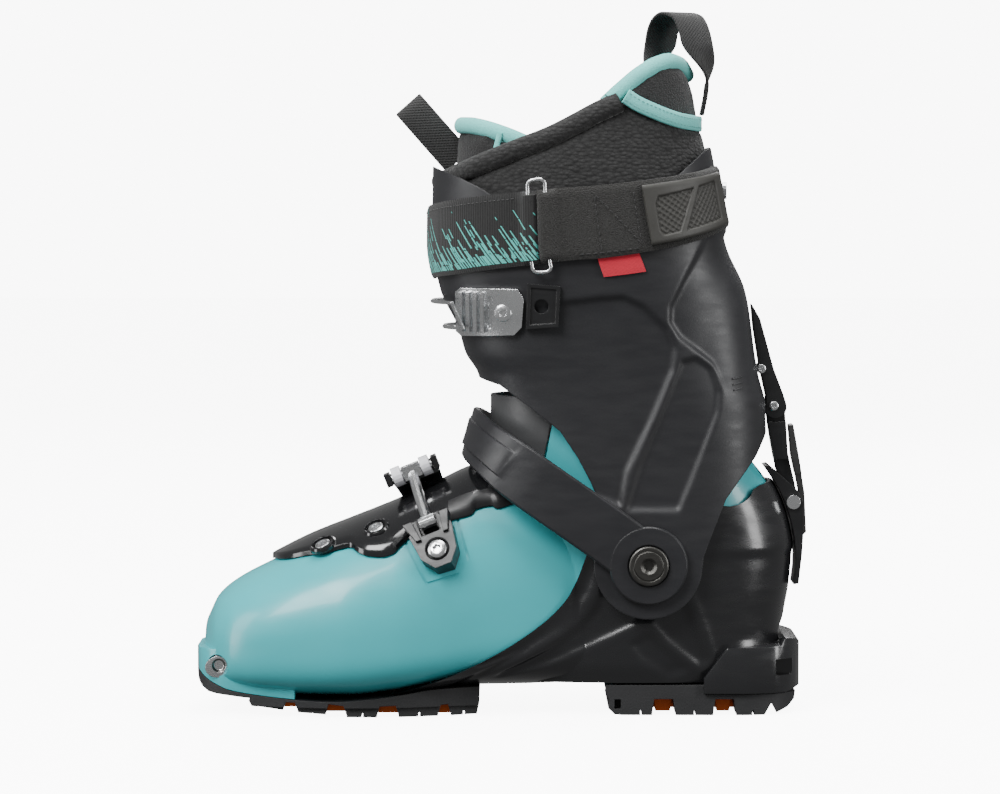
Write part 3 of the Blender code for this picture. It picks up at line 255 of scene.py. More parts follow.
def woven(name, colour, pitch_u, pitch_v, coords="UV", strength=0.6, slant=0.0, fuzz=0.25, lift=0.35):
    """Cloth with threads across and along, darker between them as painted shade, under a fine fuzz."""
    n = Nodes(name)
    split = n.add("SeparateXYZ")
    n.link(n.place, coords, split, "Vector")
    u, v = split.outputs[0], split.outputs[1] if coords == "UV" else split.outputs[2]
    if slant:
        u = n.math("ADD", u, n.math("MULTIPLY", v, slant))
    across, along = wave(n, u, pitch_u), wave(n, v, pitch_v)
    weave = n.math("MAXIMUM", across, n.math("MULTIPLY", along, lift * 2))
    fuzzy = n.noise(2600, 2)
    height = n.math("ADD", weave, n.math("MULTIPLY", fuzzy.outputs["Fac"], fuzz))
    cloud = n.noise(45, 4)
    # Colour: painted shade between the threads, mixed with a random cloudy tone.
    shade = n.math("ADD", n.math("MULTIPLY", weave, 0.55), n.math("MULTIPLY", cloud.outputs["Fac"], 0.6))
    colour_out = n.mix(shade, times(colour, 0.45), times(colour, 1.5))
    n.tree.links.new(colour_out, n.shader.inputs["Base Color"])
    rub = n.spread(fuzzy, "Fac", 0.82, 0.98)
    n.link(rub, "Result", n.shader, "Roughness")
    n.shader.inputs["Sheen Weight"].default_value = 0.12
    n.shader.inputs["Sheen Roughness"].default_value = 0.6
    n.bump(height, strength, 0.0005)
    return n


def knitted(name, colour, loop, strength=0.7, tone=0.5):
    """Stretch mesh: rounded cells of yarn in the piece's own coordinates, darker towards their edges as
    painted shade between the loops.
    """
    n = Nodes(name)
    cells = n.add("TexVoronoi")
    cells.inputs["Scale"].default_value = 1 / loop
    cells.inputs["Randomness"].default_value = 0.75
    squeeze = n.add("Mapping")
    squeeze.inputs["Scale"].default_value = (1.0, 1.0, 1.7)
    n.link(n.place, "Object", squeeze, "Vector")
    n.link(squeeze, "Vector", cells, "Vector")
    near = n.math("SUBTRACT", 1.0, cells.outputs["Distance"])
    fuzzy = n.noise(1800, 3)
    height = n.math("ADD", near, n.math("MULTIPLY", fuzzy.outputs["Fac"], 0.4))
    cloud = n.noise(60, 4)
    # Colour: painted shade towards the cell edges, times a random cloudy tone.
    shade = n.math("MULTIPLY", near, n.math("ADD", cloud.outputs["Fac"], 0.45))
    colour_out = n.mix(shade, times(colour, 1 - tone), times(colour, 1 + tone))
    n.tree.links.new(colour_out, n.shader.inputs["Base Color"])
    rub = n.spread(fuzzy, "Fac", 0.8, 0.98)
    n.link(rub, "Result", n.shader, "Roughness")
    n.shader.inputs["Sheen Weight"].default_value = 0.15
    n.bump(height, strength, 0.0006)
    return n.material


AQUA = (0.045, 0.43, 0.47)
AQUA_CLOTH = (0.16, 0.60, 0.56)
CUFF_GREY = (0.0165, 0.0168, 0.019)
BLACK = (0.008, 0.0082, 0.009)
CLOTH_BLACK = (0.010, 0.010, 0.010)


# Pitch in metres, seed, height in metres, printed share of the pitch
STREAKS = [(0.0034, 11.0, 0.034, 0.30), (0.0023, 47.0, 0.022, 0.42), (0.0016, 83.0, 0.012, 0.52)]


def streaked_webbing():
    """Ribbed webbing printed with slanting aqua streaks that thicken towards its lower edge."""
    n = woven("streaked_webbing", CLOTH_BLACK, 0.0012, 0.0007, strength=0.55)
    old = n.shader.inputs["Base Color"].links[0].from_socket
    split = n.add("SeparateXYZ")
    n.link(n.place, "UV", split, "Vector")
    u, v = split.outputs[0], split.outputs[1]
    lean = n.math("ADD", u, n.math("MULTIPLY", v, 0.62))
    print_mask = None
    for pitch, seed, reach, share in STREAKS:
        turns = n.math("MULTIPLY", lean, 1 / pitch)
        index = n.math("FLOOR", turns)
        chance = n.add("TexWhiteNoise")
        chance.noise_dimensions = "1D"
        n.tree.links.new(n.math("ADD", index, seed), chance.inputs["W"])
        top = n.math("MULTIPLY", n.math("POWER", chance.outputs["Value"], 1.7), reach)
        inside = n.math("LESS_THAN", v, n.math("ADD", top, 0.0035))
        taper = n.math("SUBTRACT", share, n.math("MULTIPLY", v, share * 22))
        width = n.math("MAXIMUM", taper, share * 0.35)
        line = n.math("LESS_THAN", n.math("FRACT", turns), width)
        dash = n.add("CombineXYZ")
        n.tree.links.new(n.math("ADD", index, seed), dash.inputs[0])
        n.tree.links.new(n.math("MULTIPLY", v, 170.0), dash.inputs[1])
        gaps = n.add("TexNoise")
        gaps.inputs["Scale"].default_value = 1.0
        gaps.inputs["Detail"].default_value = 0.0
        n.link(dash, "Vector", gaps, "Vector")
        solid = n.math("GREATER_THAN", gaps.outputs["Fac"], 0.43)
        streak = n.math("MULTIPLY", n.math("MULTIPLY", inside, line), solid)
        print_mask = streak if print_mask is None else n.math("MAXIMUM", print_mask, streak)
    broken = n.noise(2400, 2, stretch=(1, 1, 1), coords="UV")
    holes = n.math("GREATER_THAN", broken.outputs["Fac"], 0.36)
    hem = n.math("GREATER_THAN", v, 0.0022)
    front = n.math("GREATER_THAN", u, 0.0)
    mask = n.math("MULTIPLY", n.math("MULTIPLY", print_mask, holes), n.math("MULTIPLY", hem, front))
    colour_out = n.mix(mask, old, (0.10, 0.56, 0.50))
    n.tree.links.new(colour_out, n.shader.inputs["Base Color"])
    return n.material


M = {
    "shell": moulded("aqua_shell", AQUA, 0.34, coat=0.3, grain=1400, depth=0.02, tone=0.03, edge=None),
    "cuff": moulded("cuff_satin", CUFF_GREY, 0.44, grain=2200, depth=0.16, tone=0.08, edge=0.001),
    "chassis": moulded(
        "chassis_satin", (0.0135, 0.0138, 0.015), 0.25, coat=0.3, grain=1800, depth=0.04, edge=None
    ),
    # Darker glossy black for the walls of the heel windows and the cuff slots: the gloss is real, the darker
    # colour is painted shade in the holes.
    "hole_gloss_shade": moulded("hole_gloss_and_painted_shade", (0.005, 0.0052, 0.006), 0.14, coat=0.5, grain=1500, depth=0.02),
    "tread": moulded("tread_rubber", (0.016, 0.0163, 0.0175), 0.62, grain=1300, depth=0.35, tone=0.12),
    "orange": moulded("orange_tread", (0.95, 0.15, 0.012), 0.6, grain=1300, depth=0.3, tone=0.15),
    "gloss": moulded("cover_gloss", BLACK, 0.16, coat=0.6, grain=1200, depth=0.02),
    "block": moulded("block_satin", (0.011, 0.0112, 0.012), 0.36, grain=1800, depth=0.15),
    "strap": moulded("strap_satin", (0.0165, 0.0168, 0.019), 0.40, grain=2200, depth=0.14, tone=0.08),
    "flap": moulded("flap_grey", (0.05, 0.051, 0.053), 0.42, grain=2000, depth=0.1),
    "board": moulded("board_plain", (0.25, 0.25, 0.26), 0.6, grain=700, depth=0.2),
    "mechanism": moulded("bar_black", (0.010, 0.0102, 0.011), 0.40, grain=2000, depth=0.12),
    "grip": moulded("grip_rubber", (0.036, 0.035, 0.031), 0.55, grain=2400, depth=0.25),
    "rim": moulded("spoiler_gloss", (0.010, 0.011, 0.017), 0.14, coat=0.5, grain=1200, depth=0.02),
    "white": moulded("roller_white", (0.78, 0.78, 0.82), 0.35, grain=900, depth=0.05, tone=0.02),
    "painted": moulded("painted_black", (0.009, 0.009, 0.010), 0.28, coat=0.4, grain=1600, depth=0.1),
    "steel": metal("steel_bright", (0.78, 0.79, 0.80), 0.22, grain=700, depth=0.06),
    "rack": metal("steel_pressed", (0.80, 0.81, 0.82), 0.22, stretch=(6, 6, 1), grain=900, depth=0.05),
    "dark_steel": metal("steel_dark", (0.10, 0.098, 0.092), 0.38),
    "aluminium": metal("anodised_dark", (0.13, 0.13, 0.128), 0.36),
    "mesh": knitted("liner_mesh", (0.0145, 0.0145, 0.0145), 0.0027, strength=1.0, tone=0.75),
    "lining": knitted("liner_lining", (0.011, 0.011, 0.011), 0.0011),
    "aqua_edge": knitted("aqua_edge", AQUA_CLOTH, 0.0009, strength=0.3, tone=0.14),
    "foam": knitted("insole_foam", (0.19, 0.19, 0.2), 0.0013, strength=0.4),
    "pull": woven("pull_webbing", (0.012, 0.012, 0.0118), 0.0016, 0.0011, slant=0.8, strength=0.8).material,
    "felt": knitted("felt_tab", (0.020, 0.0195, 0.018), 0.0008, strength=0.9, tone=0.35),
    "label": woven("label_red", (0.52, 0.014, 0.034), 0.0006, 0.0006, strength=0.3).material,
    "thread": woven("thread_black", (0.016, 0.016, 0.016), 0.0004, 0.0004, coords="Object").material,
    "thread_aqua": woven("thread_teal", (0.12, 0.36, 0.34), 0.0004, 0.0004, coords="Object").material,
    "thread_grey": woven("thread_grey", (0.09, 0.09, 0.09), 0.0004, 0.0004, coords="Object").material,
    "webbing": streaked_webbing(),
}


# ------------------------------------------------------------------ tables and grids


def curve_rows(table, at):
    """Rows of a table read at many values of its first column, smoothly and without overshoot."""
    rows = np.array(table, float)
    at = np.atleast_1d(np.array(at, float))
    x, y = rows[:, 0], rows[:, 1:]
    slope = np.diff(y, axis=0) / np.diff(x)[:, None]
    pull = np.zeros_like(y)
    both = slope[:-1] * slope[1:]
    total = slope[:-1] + slope[1:]
    pull[1:-1] = np.where(both > 0, 2 * both / np.where(np.abs(total) < 1e-9, 1, total), 0)
    pull[0], pull[-1] = slope[0], slope[-1]
    low = np.clip(np.searchsorted(x, at, side="right") - 1, 0, len(x) - 2)
    width = (x[low + 1] - x[low])[:, None]
    s = np.clip((at - x[low])[:, None] / width, 0, 1)
    return (
        (2 * s**3 - 3 * s**2 + 1) * y[low]
        + (s**3 - 2 * s**2 + s) * width * pull[low]
        + (3 * s**2 - 2 * s**3) * y[low + 1]
        + (s**3 - s**2) * width * pull[low + 1]
    )


def run_lengths(rows):
    """Distance along a line of points, at each of them."""
    return np.concatenate([[0], np.cumsum(np.linalg.norm(np.diff(rows, axis=0), axis=1))])


def row_at(table, at):
    return curve_rows(table, [at])[0]


def signed_power(value, power):
    return np.sign(value) * np.abs(value) ** power


def spread(start, end, steps):
    return [start + (end - start) * i / steps for i in range(steps + 1)]


def foot_grid(grow=0.0, around=112, step=2.0):
    """Points of the foot part: one row for each station along the boot."""
    nose = [FOOT[0][0] + v for v in (0, 0.15, 0.4, 0.8, 1.4, 2.2, 3.2, 4.6)]
    xs = np.array(nose + list(np.arange(FOOT[0][0] + 6.0, FOOT[-1][0], step)) + [FOOT[-1][0]])
    rows = curve_rows(FOOT, xs)
    medial, lateral, bottom, widest, crown, power = (rows[:, i : i + 1] for i in range(6))
    turn = 2 * np.pi * (np.arange(around) + 0.5)[None, :] / around
    side, up = np.cos(turn), np.sin(turn)
    half = np.where(side > 0, lateral, medial) + grow
    height = np.where(up > 0, crown + grow - widest, widest - bottom + grow)
    full = np.where(up > 0, power, 3.6)
    grid = np.empty((len(xs), around, 3))
    grid[..., 0] = xs[:, None]
    grid[..., 1] = half * signed_power(side, 2 / full)
    grid[..., 2] = widest + height * signed_power(up, 2 / full)
    grid[0, :, 0] -= grow
    grid[-1, :, 0] += grow
    return grid


def tube_grid(table, grow=0.0, low=None, high=None, around=160, step=2.5):
    """Points of an upright tube: one row for each level, from the front towards the medial side."""
    low = table[0][0] if low is None else low
    high = table[-1][0] if high is None else high
    levels = np.linspace(low, high, max(2, int((high - low) / step) + 1))
    rows = curve_rows(table, levels)
    front, rear, half, power = (rows[:, i : i + 1] for i in range(4))
    turn = 2 * np.pi * np.arange(around)[None, :] / around
    grid = np.empty((len(levels), around, 3))
    reach = (rear - front) / 2 + grow
    grid[..., 0] = (front + rear) / 2 - reach * signed_power(np.cos(turn), 2 / power)
    grid[..., 1] = -(half + grow) * signed_power(np.sin(turn), 2 / power)
    grid[..., 2] = levels[:, None]
    return grid


def even_tube(table, grow, low, high, around, step):
    """A tube whose points are evenly spaced round every level."""
    dense = tube_grid(table, grow, low, high, 720, step)
    out = np.empty((dense.shape[0], around, 3))
    for index, ring in enumerate(dense):
        loop = np.vstack([ring, ring[:1]])
        lengths = run_lengths(loop)
        marks = np.linspace(0, lengths[-1], around, endpoint=False)
        for axis in range(3):
            out[index, :, axis] = np.interp(marks, lengths, loop[:, axis])
    return out


def grid_normals(grid):
    """Outward directions on a grid that closes on itself along its second axis."""
    across = np.roll(grid, -1, axis=1) - np.roll(grid, 1, axis=1)
    along = np.gradient(grid, axis=0)
    normal = np.cross(across, along)
    normal /= np.maximum(np.linalg.norm(normal, axis=2, keepdims=True), 1e-9)
    centre = grid.mean(axis=1, keepdims=True)
    if ((grid - centre) * normal).sum() < 0:
        normal = -normal
    return normal


def inside_distance(points, outline):
    """Signed distance in millimetres from points in X and Z to an outline, positive inside."""
    a = np.array(outline, float)
    b = np.roll(a, -1, axis=0)
    flat = points.reshape(-1, 1, 2)
    edge = (b - a)[None]
    share = ((flat - a[None]) * edge).sum(2) / np.maximum((edge**2).sum(2), 1e-9)
    near = a[None] + edge * np.clip(share, 0, 1)[..., None]
    distance = np.sqrt(((flat - near) ** 2).sum(2)).min(1)
    x, z = flat[:, 0, 0][:, None], flat[:, 0, 1][:, None]
    crosses = (a[None, :, 1] > z) != (b[None, :, 1] > z)
    with np.errstate(divide="ignore", invalid="ignore"):
        where = a[None, :, 0] + (z - a[None, :, 1]) / (b - a)[None, :, 1] * (b - a)[None, :, 0]
    within = (crosses & (x < where)).sum(1) % 2 == 1
    return np.where(within, distance, -distance).reshape(points.shape[:-1])


def ease(value):
    value = np.clip(value, 0, 1)
    return value * value * (3 - 2 * value)


def rounded(outline, rounds=2):
    """Outline with its corners cut back again and again, so that they turn smoothly."""
    points = [np.array(p, float) for p in outline]
    for _ in range(rounds):
        cut = []
        for a, b in zip(points, points[1:] + points[:1]):
            cut += [a * 0.75 + b * 0.25, a * 0.25 + b * 0.75]
        points = cut
    return [tuple(p) for p in points]


RELIEF_BLUR = 2


def relief(grid, shapes):
    """Height in millimetres at each grid point; each shape is an outline, height, edge width and fade."""
    total = np.zeros(grid.shape[:2])
    flat = grid[..., [0, 2]]
    for outline, height, edge, fade in shapes:
        distance = inside_distance(flat, outline)
        part = ease(distance / edge + 0.5) * height
        if fade:
            (x0, z0), (x1, z1) = fade
            way = np.array([x1 - x0, z1 - z0])
            part = part * ease(((flat - np.array([x0, z0])) @ way) / (way @ way))
        total += part
    for _ in range(RELIEF_BLUR):
        total = (np.roll(total, 1, axis=1) + 2 * total + np.roll(total, -1, axis=1)) / 4
        total[1:-1] = (total[:-2] + 2 * total[1:-1] + total[2:]) / 4
    return total


# ------------------------------------------------------------------ meshes and booleans


def mesh_object(name, points, faces, materials, indices=None, uvs=None):
    """An object from points in millimetres; its faces are turned outwards."""
    mesh = bpy.data.meshes.new(name)
    mesh.from_pydata([tuple(p) for p in np.asarray(points, float) * MM], [], faces)
    for look in materials:
        mesh.materials.append(look)
    if indices is not None:
        mesh.polygons.foreach_set("material_index", indices)
    if uvs is not None:
        layer = mesh.uv_layers.new(name="UVMap")
        corner = np.empty(len(mesh.loops), np.int32)
        mesh.loops.foreach_get("vertex_index", corner)
        layer.data.foreach_set("uv", np.asarray(uvs, np.float32)[corner].ravel())
    bm = bmesh.new()
    bm.from_mesh(mesh)
    bmesh.ops.recalc_face_normals(bm, faces=bm.faces)
    if bm.calc_volume(signed=True) < 0:
        bmesh.ops.reverse_faces(bm, faces=bm.faces)
    bm.to_mesh(mesh)
    bm.free()
    obj = bpy.data.objects.new(name, mesh)
    bpy.context.scene.collection.objects.link(obj)
    return obj


def grid_faces(rows, count, closed_rows=False, caps=True):
    faces = []
    last = rows if closed_rows else rows - 1
    for r in range(last):
        s = (r + 1) % rows
        for i in range(count):
            j = (i + 1) % count
            faces.append((r * count + i, r * count + j, s * count + j, s * count + i))
    if caps and not closed_rows:
        faces.append(tuple(range(count)))
        faces.append(tuple((rows - 1) * count + i for i in range(count)))
    return faces


def grid_object(name, grid, materials, indices=None):
    rows, count = grid.shape[:2]
    faces = grid_faces(rows, count)
    if indices is not None:
        indices = list(indices) + [0, 0]
    return mesh_object(name, grid.reshape(-1, 3), faces, materials, indices)


def rings_object(name, rings, materials, closed=False, uvs=None):
    grid = np.array([[tuple(p) for p in ring] for ring in rings], float)
    rows, count = grid.shape[:2]
    faces = grid_faces(rows, count, closed)
    return mesh_object(name, grid.reshape(-1, 3), faces, materials, None, uvs)


def prism(name, outline, low, high, materials, plane="xz"):
    if plane == "xz":
        rings = [[(u, y, v) for u, v in outline] for y in (low, high)]
    else:
        rings = [[(u, v, z) for u, v in outline] for z in (low, high)]
    return rings_object(name, rings, materials)


def box(name, low, high, materials):
    outline = [(low[0], low[1]), (high[0], low[1]), (high[0], high[1]), (low[0], high[1])]
    return prism(name, outline, low[2], high[2], materials, "xy")


def lathe(name, start, end, profile, materials, sides=40):
    """A round solid about the line from start to end; profile rows are share of the way and radius."""
    start, end = Vector(start), Vector(end)
    along = end - start
    turn = along.to_track_quat("Z", "Y").to_matrix()
    x, y = turn @ Vector((1, 0, 0)), turn @ Vector((0, 1, 0))
    rings = []
    for share, radius in profile:
        centre = start + along * share
        ring = []
        for i in range(sides):
            a = 2 * math.pi * i / sides
            ring.append(centre + (x * math.cos(a) + y * math.sin(a)) * radius)
        rings.append(ring)
    return rings_object(name, rings, materials)


def rod(name, start, end, radius, materials, sides=40):
    return lathe(name, start, end, [(0, radius), (1, radius)], materials, sides)


def tube(name, points, radius, materials, sides=12, cyclic=False, flat=1.0):
    """A round cord or wire swept along points in millimetres."""
    path = [Vector(p) for p in points]
    count = len(path)
    rings = []
    up = Vector((0, 0, 1))
    for i, here in enumerate(path):
        if cyclic:
            along = (path[(i + 1) % count] - path[i - 1]).normalized()
        else:
            along = (path[min(i + 1, count - 1)] - path[max(i - 1, 0)]).normalized()
        if abs(along.dot(up)) > 0.95:
            up = Vector((1, 0, 0)) if abs(along.x) < 0.9 else Vector((0, 1, 0))
        side = along.cross(up).normalized()
        up = side.cross(along).normalized()
        ring = []
        for k in range(sides):
            a = 2 * math.pi * k / sides
            ring.append(here + side * math.cos(a) * radius + up * math.sin(a) * radius * flat)
        rings.append(ring)
    return rings_object(name, rings, materials, cyclic)


def apply_modifiers(obj):
    bpy.context.view_layer.update()
    graph = bpy.context.evaluated_depsgraph_get()
    made = bpy.data.meshes.new_from_object(obj.evaluated_get(graph), depsgraph=graph)
    old = obj.data
    obj.modifiers.clear()
    obj.data = made
    bpy.data.meshes.remove(old)
    return obj


def boolean(obj, operation, *tools):
    """Exact Booleans, applied in order; the tools are used up."""
    for tool in tools:
        step = obj.modifiers.new("step", "BOOLEAN")
        step.operation = operation
        step.object = tool
        step.solver = "EXACT"
        step.material_mode = "TRANSFER"
        apply_modifiers(obj)
        bpy.data.objects.remove(tool, do_unlink=True)
    return obj


def smooth(obj, angle=32):
    obj.data.shade_smooth()
    obj.data.set_sharp_from_angle(angle=math.radians(angle))
    return obj


def bevelled(obj, width, segments=2, angle=40):
    step = obj.modifiers.new("edge", "BEVEL")
    step.width = width * MM
    step.segments = segments
    step.limit_method = "ANGLE"
    step.angle_limit = math.radians(angle)
    step.harden_normals = False
    return obj


def finished(obj, body, slot, *stands, angle=32):
    """Shades a piece, sets it on its body and hides the CAD parts it stands for."""
    smooth(obj, angle)
    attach(obj, body)
    if stands:
        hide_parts(*stands)
    return obj


def joined(name, objs):
    """One object from several, all with their own materials."""
    bpy.context.view_layer.update()
    bpy.ops.object.select_all(action="DESELECT")
    for obj in objs:
        obj.select_set(True)
    bpy.context.view_layer.objects.active = objs[0]
    bpy.ops.object.join()
    objs[0].name = name
    return objs[0]


def arc(radius, start, end, steps, centre=(PIVOT_X, PIVOT_Z)):
    """Points on a circle in X and Z; angles in degrees from straight up, positive towards the toe."""
    found = []
    for a in spread(start, end, steps):
        t = math.radians(a)
        found.append((centre[0] - radius * math.sin(t), centre[1] + radius * math.cos(t)))
    return found


def foot_top(x, y, out=0.0):
    """Point on the foot part's crown above (x, y), pushed out by a distance."""
    medial, lateral, _, widest, crown, power = row_at(FOOT, x)
    half = (lateral if y > 0 else medial) + out
    lift = (1 - min(abs(y) / half, 1) ** power) ** (1 / power)
    return Vector((x, y, widest + (crown + out - widest) * lift))


def foot_normal(x, y):
    here = foot_top(x, y)
    along = foot_top(x + 1, y) - here
    across = foot_top(x, y + 1) - here
    return along.cross(across).normalized()


def frame_at(origin, along, outward):
    x = Vector(along).normalized()
    z = (Vector(outward) - x * x.dot(Vector(outward))).normalized()
    y = z.cross(x)
    turn = Matrix((x, y, z)).transposed().to_4x4()
    return Matrix.Translation(Vector(origin)) @ turn


def moved(obj, place):
    """Moves an object drawn in a local frame in millimetres to its place."""
    shift = place.copy()
    shift.translation = place.translation * MM
    obj.data.transform(shift)
    return obj


def cuff_point(turn, z, out):
    """A point outside the cuff's wall: turn in degrees from the front towards the medial side."""
    front, rear, half, power = row_at(CUFF, z)
    middle, reach = (front + rear) / 2, (rear - front) / 2
    angle = math.radians(turn)

    def at(a):
        x = middle - reach * float(signed_power(np.cos(a), 2 / power))
        y = -half * float(signed_power(np.sin(a), 2 / power))
        return Vector((x, y, 0))

    along = at(angle + 0.02) - at(angle - 0.02)
    outward = Vector((along.y, -along.x, 0)).normalized()
    here = at(angle)
    if outward.dot(here - Vector((middle, 0, 0))) < 0:
        outward = -outward
    return here + outward * out + Vector((0, 0, z))


def line_at(table, at):
    rows = np.array(table, float)
    return [float(np.interp(at, rows[:, 0], rows[:, c])) for c in range(1, rows.shape[1])]


def head_screw(name, base, outward, radius, height, look, recess=0.42):
    """Domed screw head with a six-lobed recess."""
    base, outward = Vector(base), Vector(outward).normalized()
    profile = [(0, radius), (0.55, radius), (0.8, radius * 0.93), (1, radius * 0.72)]
    head = lathe(name, base, base + outward * height, profile, [look])
    lobes = []
    side = outward.orthogonal().normalized()
    other = outward.cross(side)
    for i in range(24):
        a = 2 * math.pi * i / 24
        r = radius * recess * (1 + 0.16 * math.cos(6 * a))
        lobes.append(side * math.cos(a) * r + other * math.sin(a) * r)
    rings = [[base + outward * (height * h) + p for p in lobes] for h in (0.35, 1.3)]
    boolean(head, "DIFFERENCE", rings_object("lobes", rings, [look]))
    return head


def at_pivot(y):
    return (PIVOT_X, y, PIVOT_Z)


def rivet_hole(radius):
    return rod("hole", at_pivot(-70), at_pivot(70), radius, [], 48)


# ------------------------------------------------------------------ lower shell and chassis

# Where the aqua shell ends beside the black chassis, in X and Z
AQUA_LINE = [(-37.1, 14.2), (-18.3, 21.1), (0.5, 30.5), (19.2, 42.7)]
AQUA_LINE += [(30.5, 53.0), (36.1, 62.4), (40.3, 73.6)]
# Outline, height, edge width and fade of each sunk field
CHASSIS_SHAPES = [
    ([(40.3, 73.6), (38.0, 62.4), (32.4, 52.1), (21.1, 41.7), (2.3, 30.5), (-10.8, 24.4), (-8.9, 23.9)]
     + [(13.6, 31.9), (28.6, 41.3), (37.1, 50.7), (42.5, 60.5), (45.5, 71)], -1.7, 1.8, None),
    ([(49.7, 72), (48.8, 60.5), (45.5, 51.1), (38.0, 42.7), (23.0, 31.4), (3.3, 21.1), (-0.5, 18.8)]
     + [(23.0, 24.7), (50.2, 37.5), (66.1, 45.2), (71.8, 45.2), (80.2, 35.4), (96.1, 23.0), (98.4, 25.7)]
     + [(93.3, 39.9), (86.8, 55), (84, 66)], -2.0, 2.0, None),
    ([(62.3, 33.7), (69.4, 39), (72.6, 38.1), (89.2, 21.1), (80.2, 18.3), (68.0, 26.7)], -1.9, 2.0, None),
    ([(-25.3, 12.5), (-6.1, 22.5), (13.6, 32.5), (14.1, 31.4), (-5.2, 21.1), (-23.9, 11.9)], -1.1, 1.4, None),
    ([(103.4, 26.6), (97.5, 44), (90.4, 62), (90, 76), (142, 76), (142, 33), (112, 33)],
     -0.9, 1.8, ((90, 40), (98, 43))),
]


def core(name, grow, materials, shapes=(), around=150, fine=False):
    """Foot and ankle forms joined, grown outwards, with relief pressed into them."""
    foot = foot_grid(grow, 300 if fine else 150, 1.0 if fine else 1.6)
    ankle = even_tube(ANKLE, grow, ANKLE[0][0], ANKLE[-1][0], around, 1.2 if fine else 3.0)
    parts = []
    for grid, tag in ((foot, "foot"), (ankle, "ankle")):
        if shapes:
            grid = grid + grid_normals(grid) * relief(grid, shapes)[..., None]
        parts.append(grid_object(name + tag, grid, materials))
    boolean(parts[0], "UNION", parts[1])
    parts[0].name = name
    return parts[0]


def sole_half_width(x):
    table = [(-143.5, 14), (-142.6, 19), (-141, 24), (-136, 30), (-128, 34), (-112, 38), (-90, 44), (-72, 46)]
    table += [(-50, 44.5), (-28, 39), (-8, 34), (45, 33), (60, 34), (115, 34.5), (130, 31), (138, 24)]
    table += [(142.6, 15)]
    return row_at(table, x)[0]


def plan_outline(first, last, steps, wider=0.0):
    stations = spread(first, last, steps)
    near = [(x, -sole_half_width(x) - wider) for x in stations]
    far = [(x, sole_half_width(x) + wider) for x in reversed(stations)]
    return near + far


def flanks(inner, outer):
    """Low and high Y of a cut on each side of the boot."""
    return ((-outer, -inner), (inner, outer))


# Height of the seam between the shell's welt and the rubber below it
SEAM = [(-143.5, 21), (-138, 16.4), (-126, 11.3), (-103, 8.6), (-79, 7.4), (-60, 8.6)]
SEAM += [(-46, 10.3), (-32, 12.5), (-8, 13.5)]


def anchor_frame():
    """Place and tilt of the forefoot anchor on the medial side of the instep."""
    base = foot_top(-29.0, -42.0)
    slope = (math.cos(math.radians(22)), 0.0, math.sin(math.radians(22)))
    return frame_at(base, slope, foot_normal(-29.0, -42.0))


def shell():
    """Aqua lower shell with its toe welt, throat, rivet holes, toe socket and the groove round the anchor."""
    look = [M["shell"]]
    form = core("shell_skin", 0.0, look)
    profile = [(-150, 0), (-150, 112), (-20, 112), (-8, 107), (19, 106), (25, 137)]
    profile += arc(FRONT_R, 30, 6, 8) + arc(REAR_R, -8, -118, 30) + [(134, 0)]
    boolean(form, "INTERSECT", prism("cut", profile, -WIDE, WIDE, look))
    lug = prism("lug", plan_outline(TOE_X, -96, 30), 6.0, TOE_LEDGE_Z, look, "xy")
    seam = [(x, row_at(SEAM, x)[0] + 0.3) for x in spread(-145, -90, 20)] + [(-90, 40), (-145, 40)]
    boolean(lug, "INTERSECT", prism("seam", seam, -60, 60, look))
    bevelled(lug, 1.4, 3, 50)
    apply_modifiers(lug)
    boolean(form, "UNION", lug)
    hollow = core("hollow", -SHELL_WALL, look)
    boolean(hollow, "INTERSECT", box("room", (-126, -80, 19), (150, 80, 175), look))
    boolean(form, "DIFFERENCE", hollow, box("throat", (-72, -19, 60), (12, 19, 140), look))
    boolean(form, "DIFFERENCE", rivet_hole(5.3))
    boolean(form, "DIFFERENCE", rod("socket", (SOCKET_X, -60, SOCKET_Z), (SOCKET_X, 60, SOCKET_Z), 5.2, look))
    place = anchor_frame()
    outer = [(-11.4, -16.2), (11.4, -16.2), (14.8, 16), (-14.8, 16)]
    inner = [(-10.3, -15.1), (10.3, -15.1), (13.7, 20), (-13.7, 20)]
    groove = moved(prism("groove", outer, -4, 6, look, "xy"), place)
    boolean(groove, "DIFFERENCE", moved(prism("keep", inner, -9, 9, look, "xy"), place))
    boolean(groove, "DIFFERENCE", grid_object("foot_form", foot_grid(-0.7), look))
    boolean(form, "DIFFERENCE", groove)
    return finished(form, BASE, "shell", "lower_shell", angle=26)


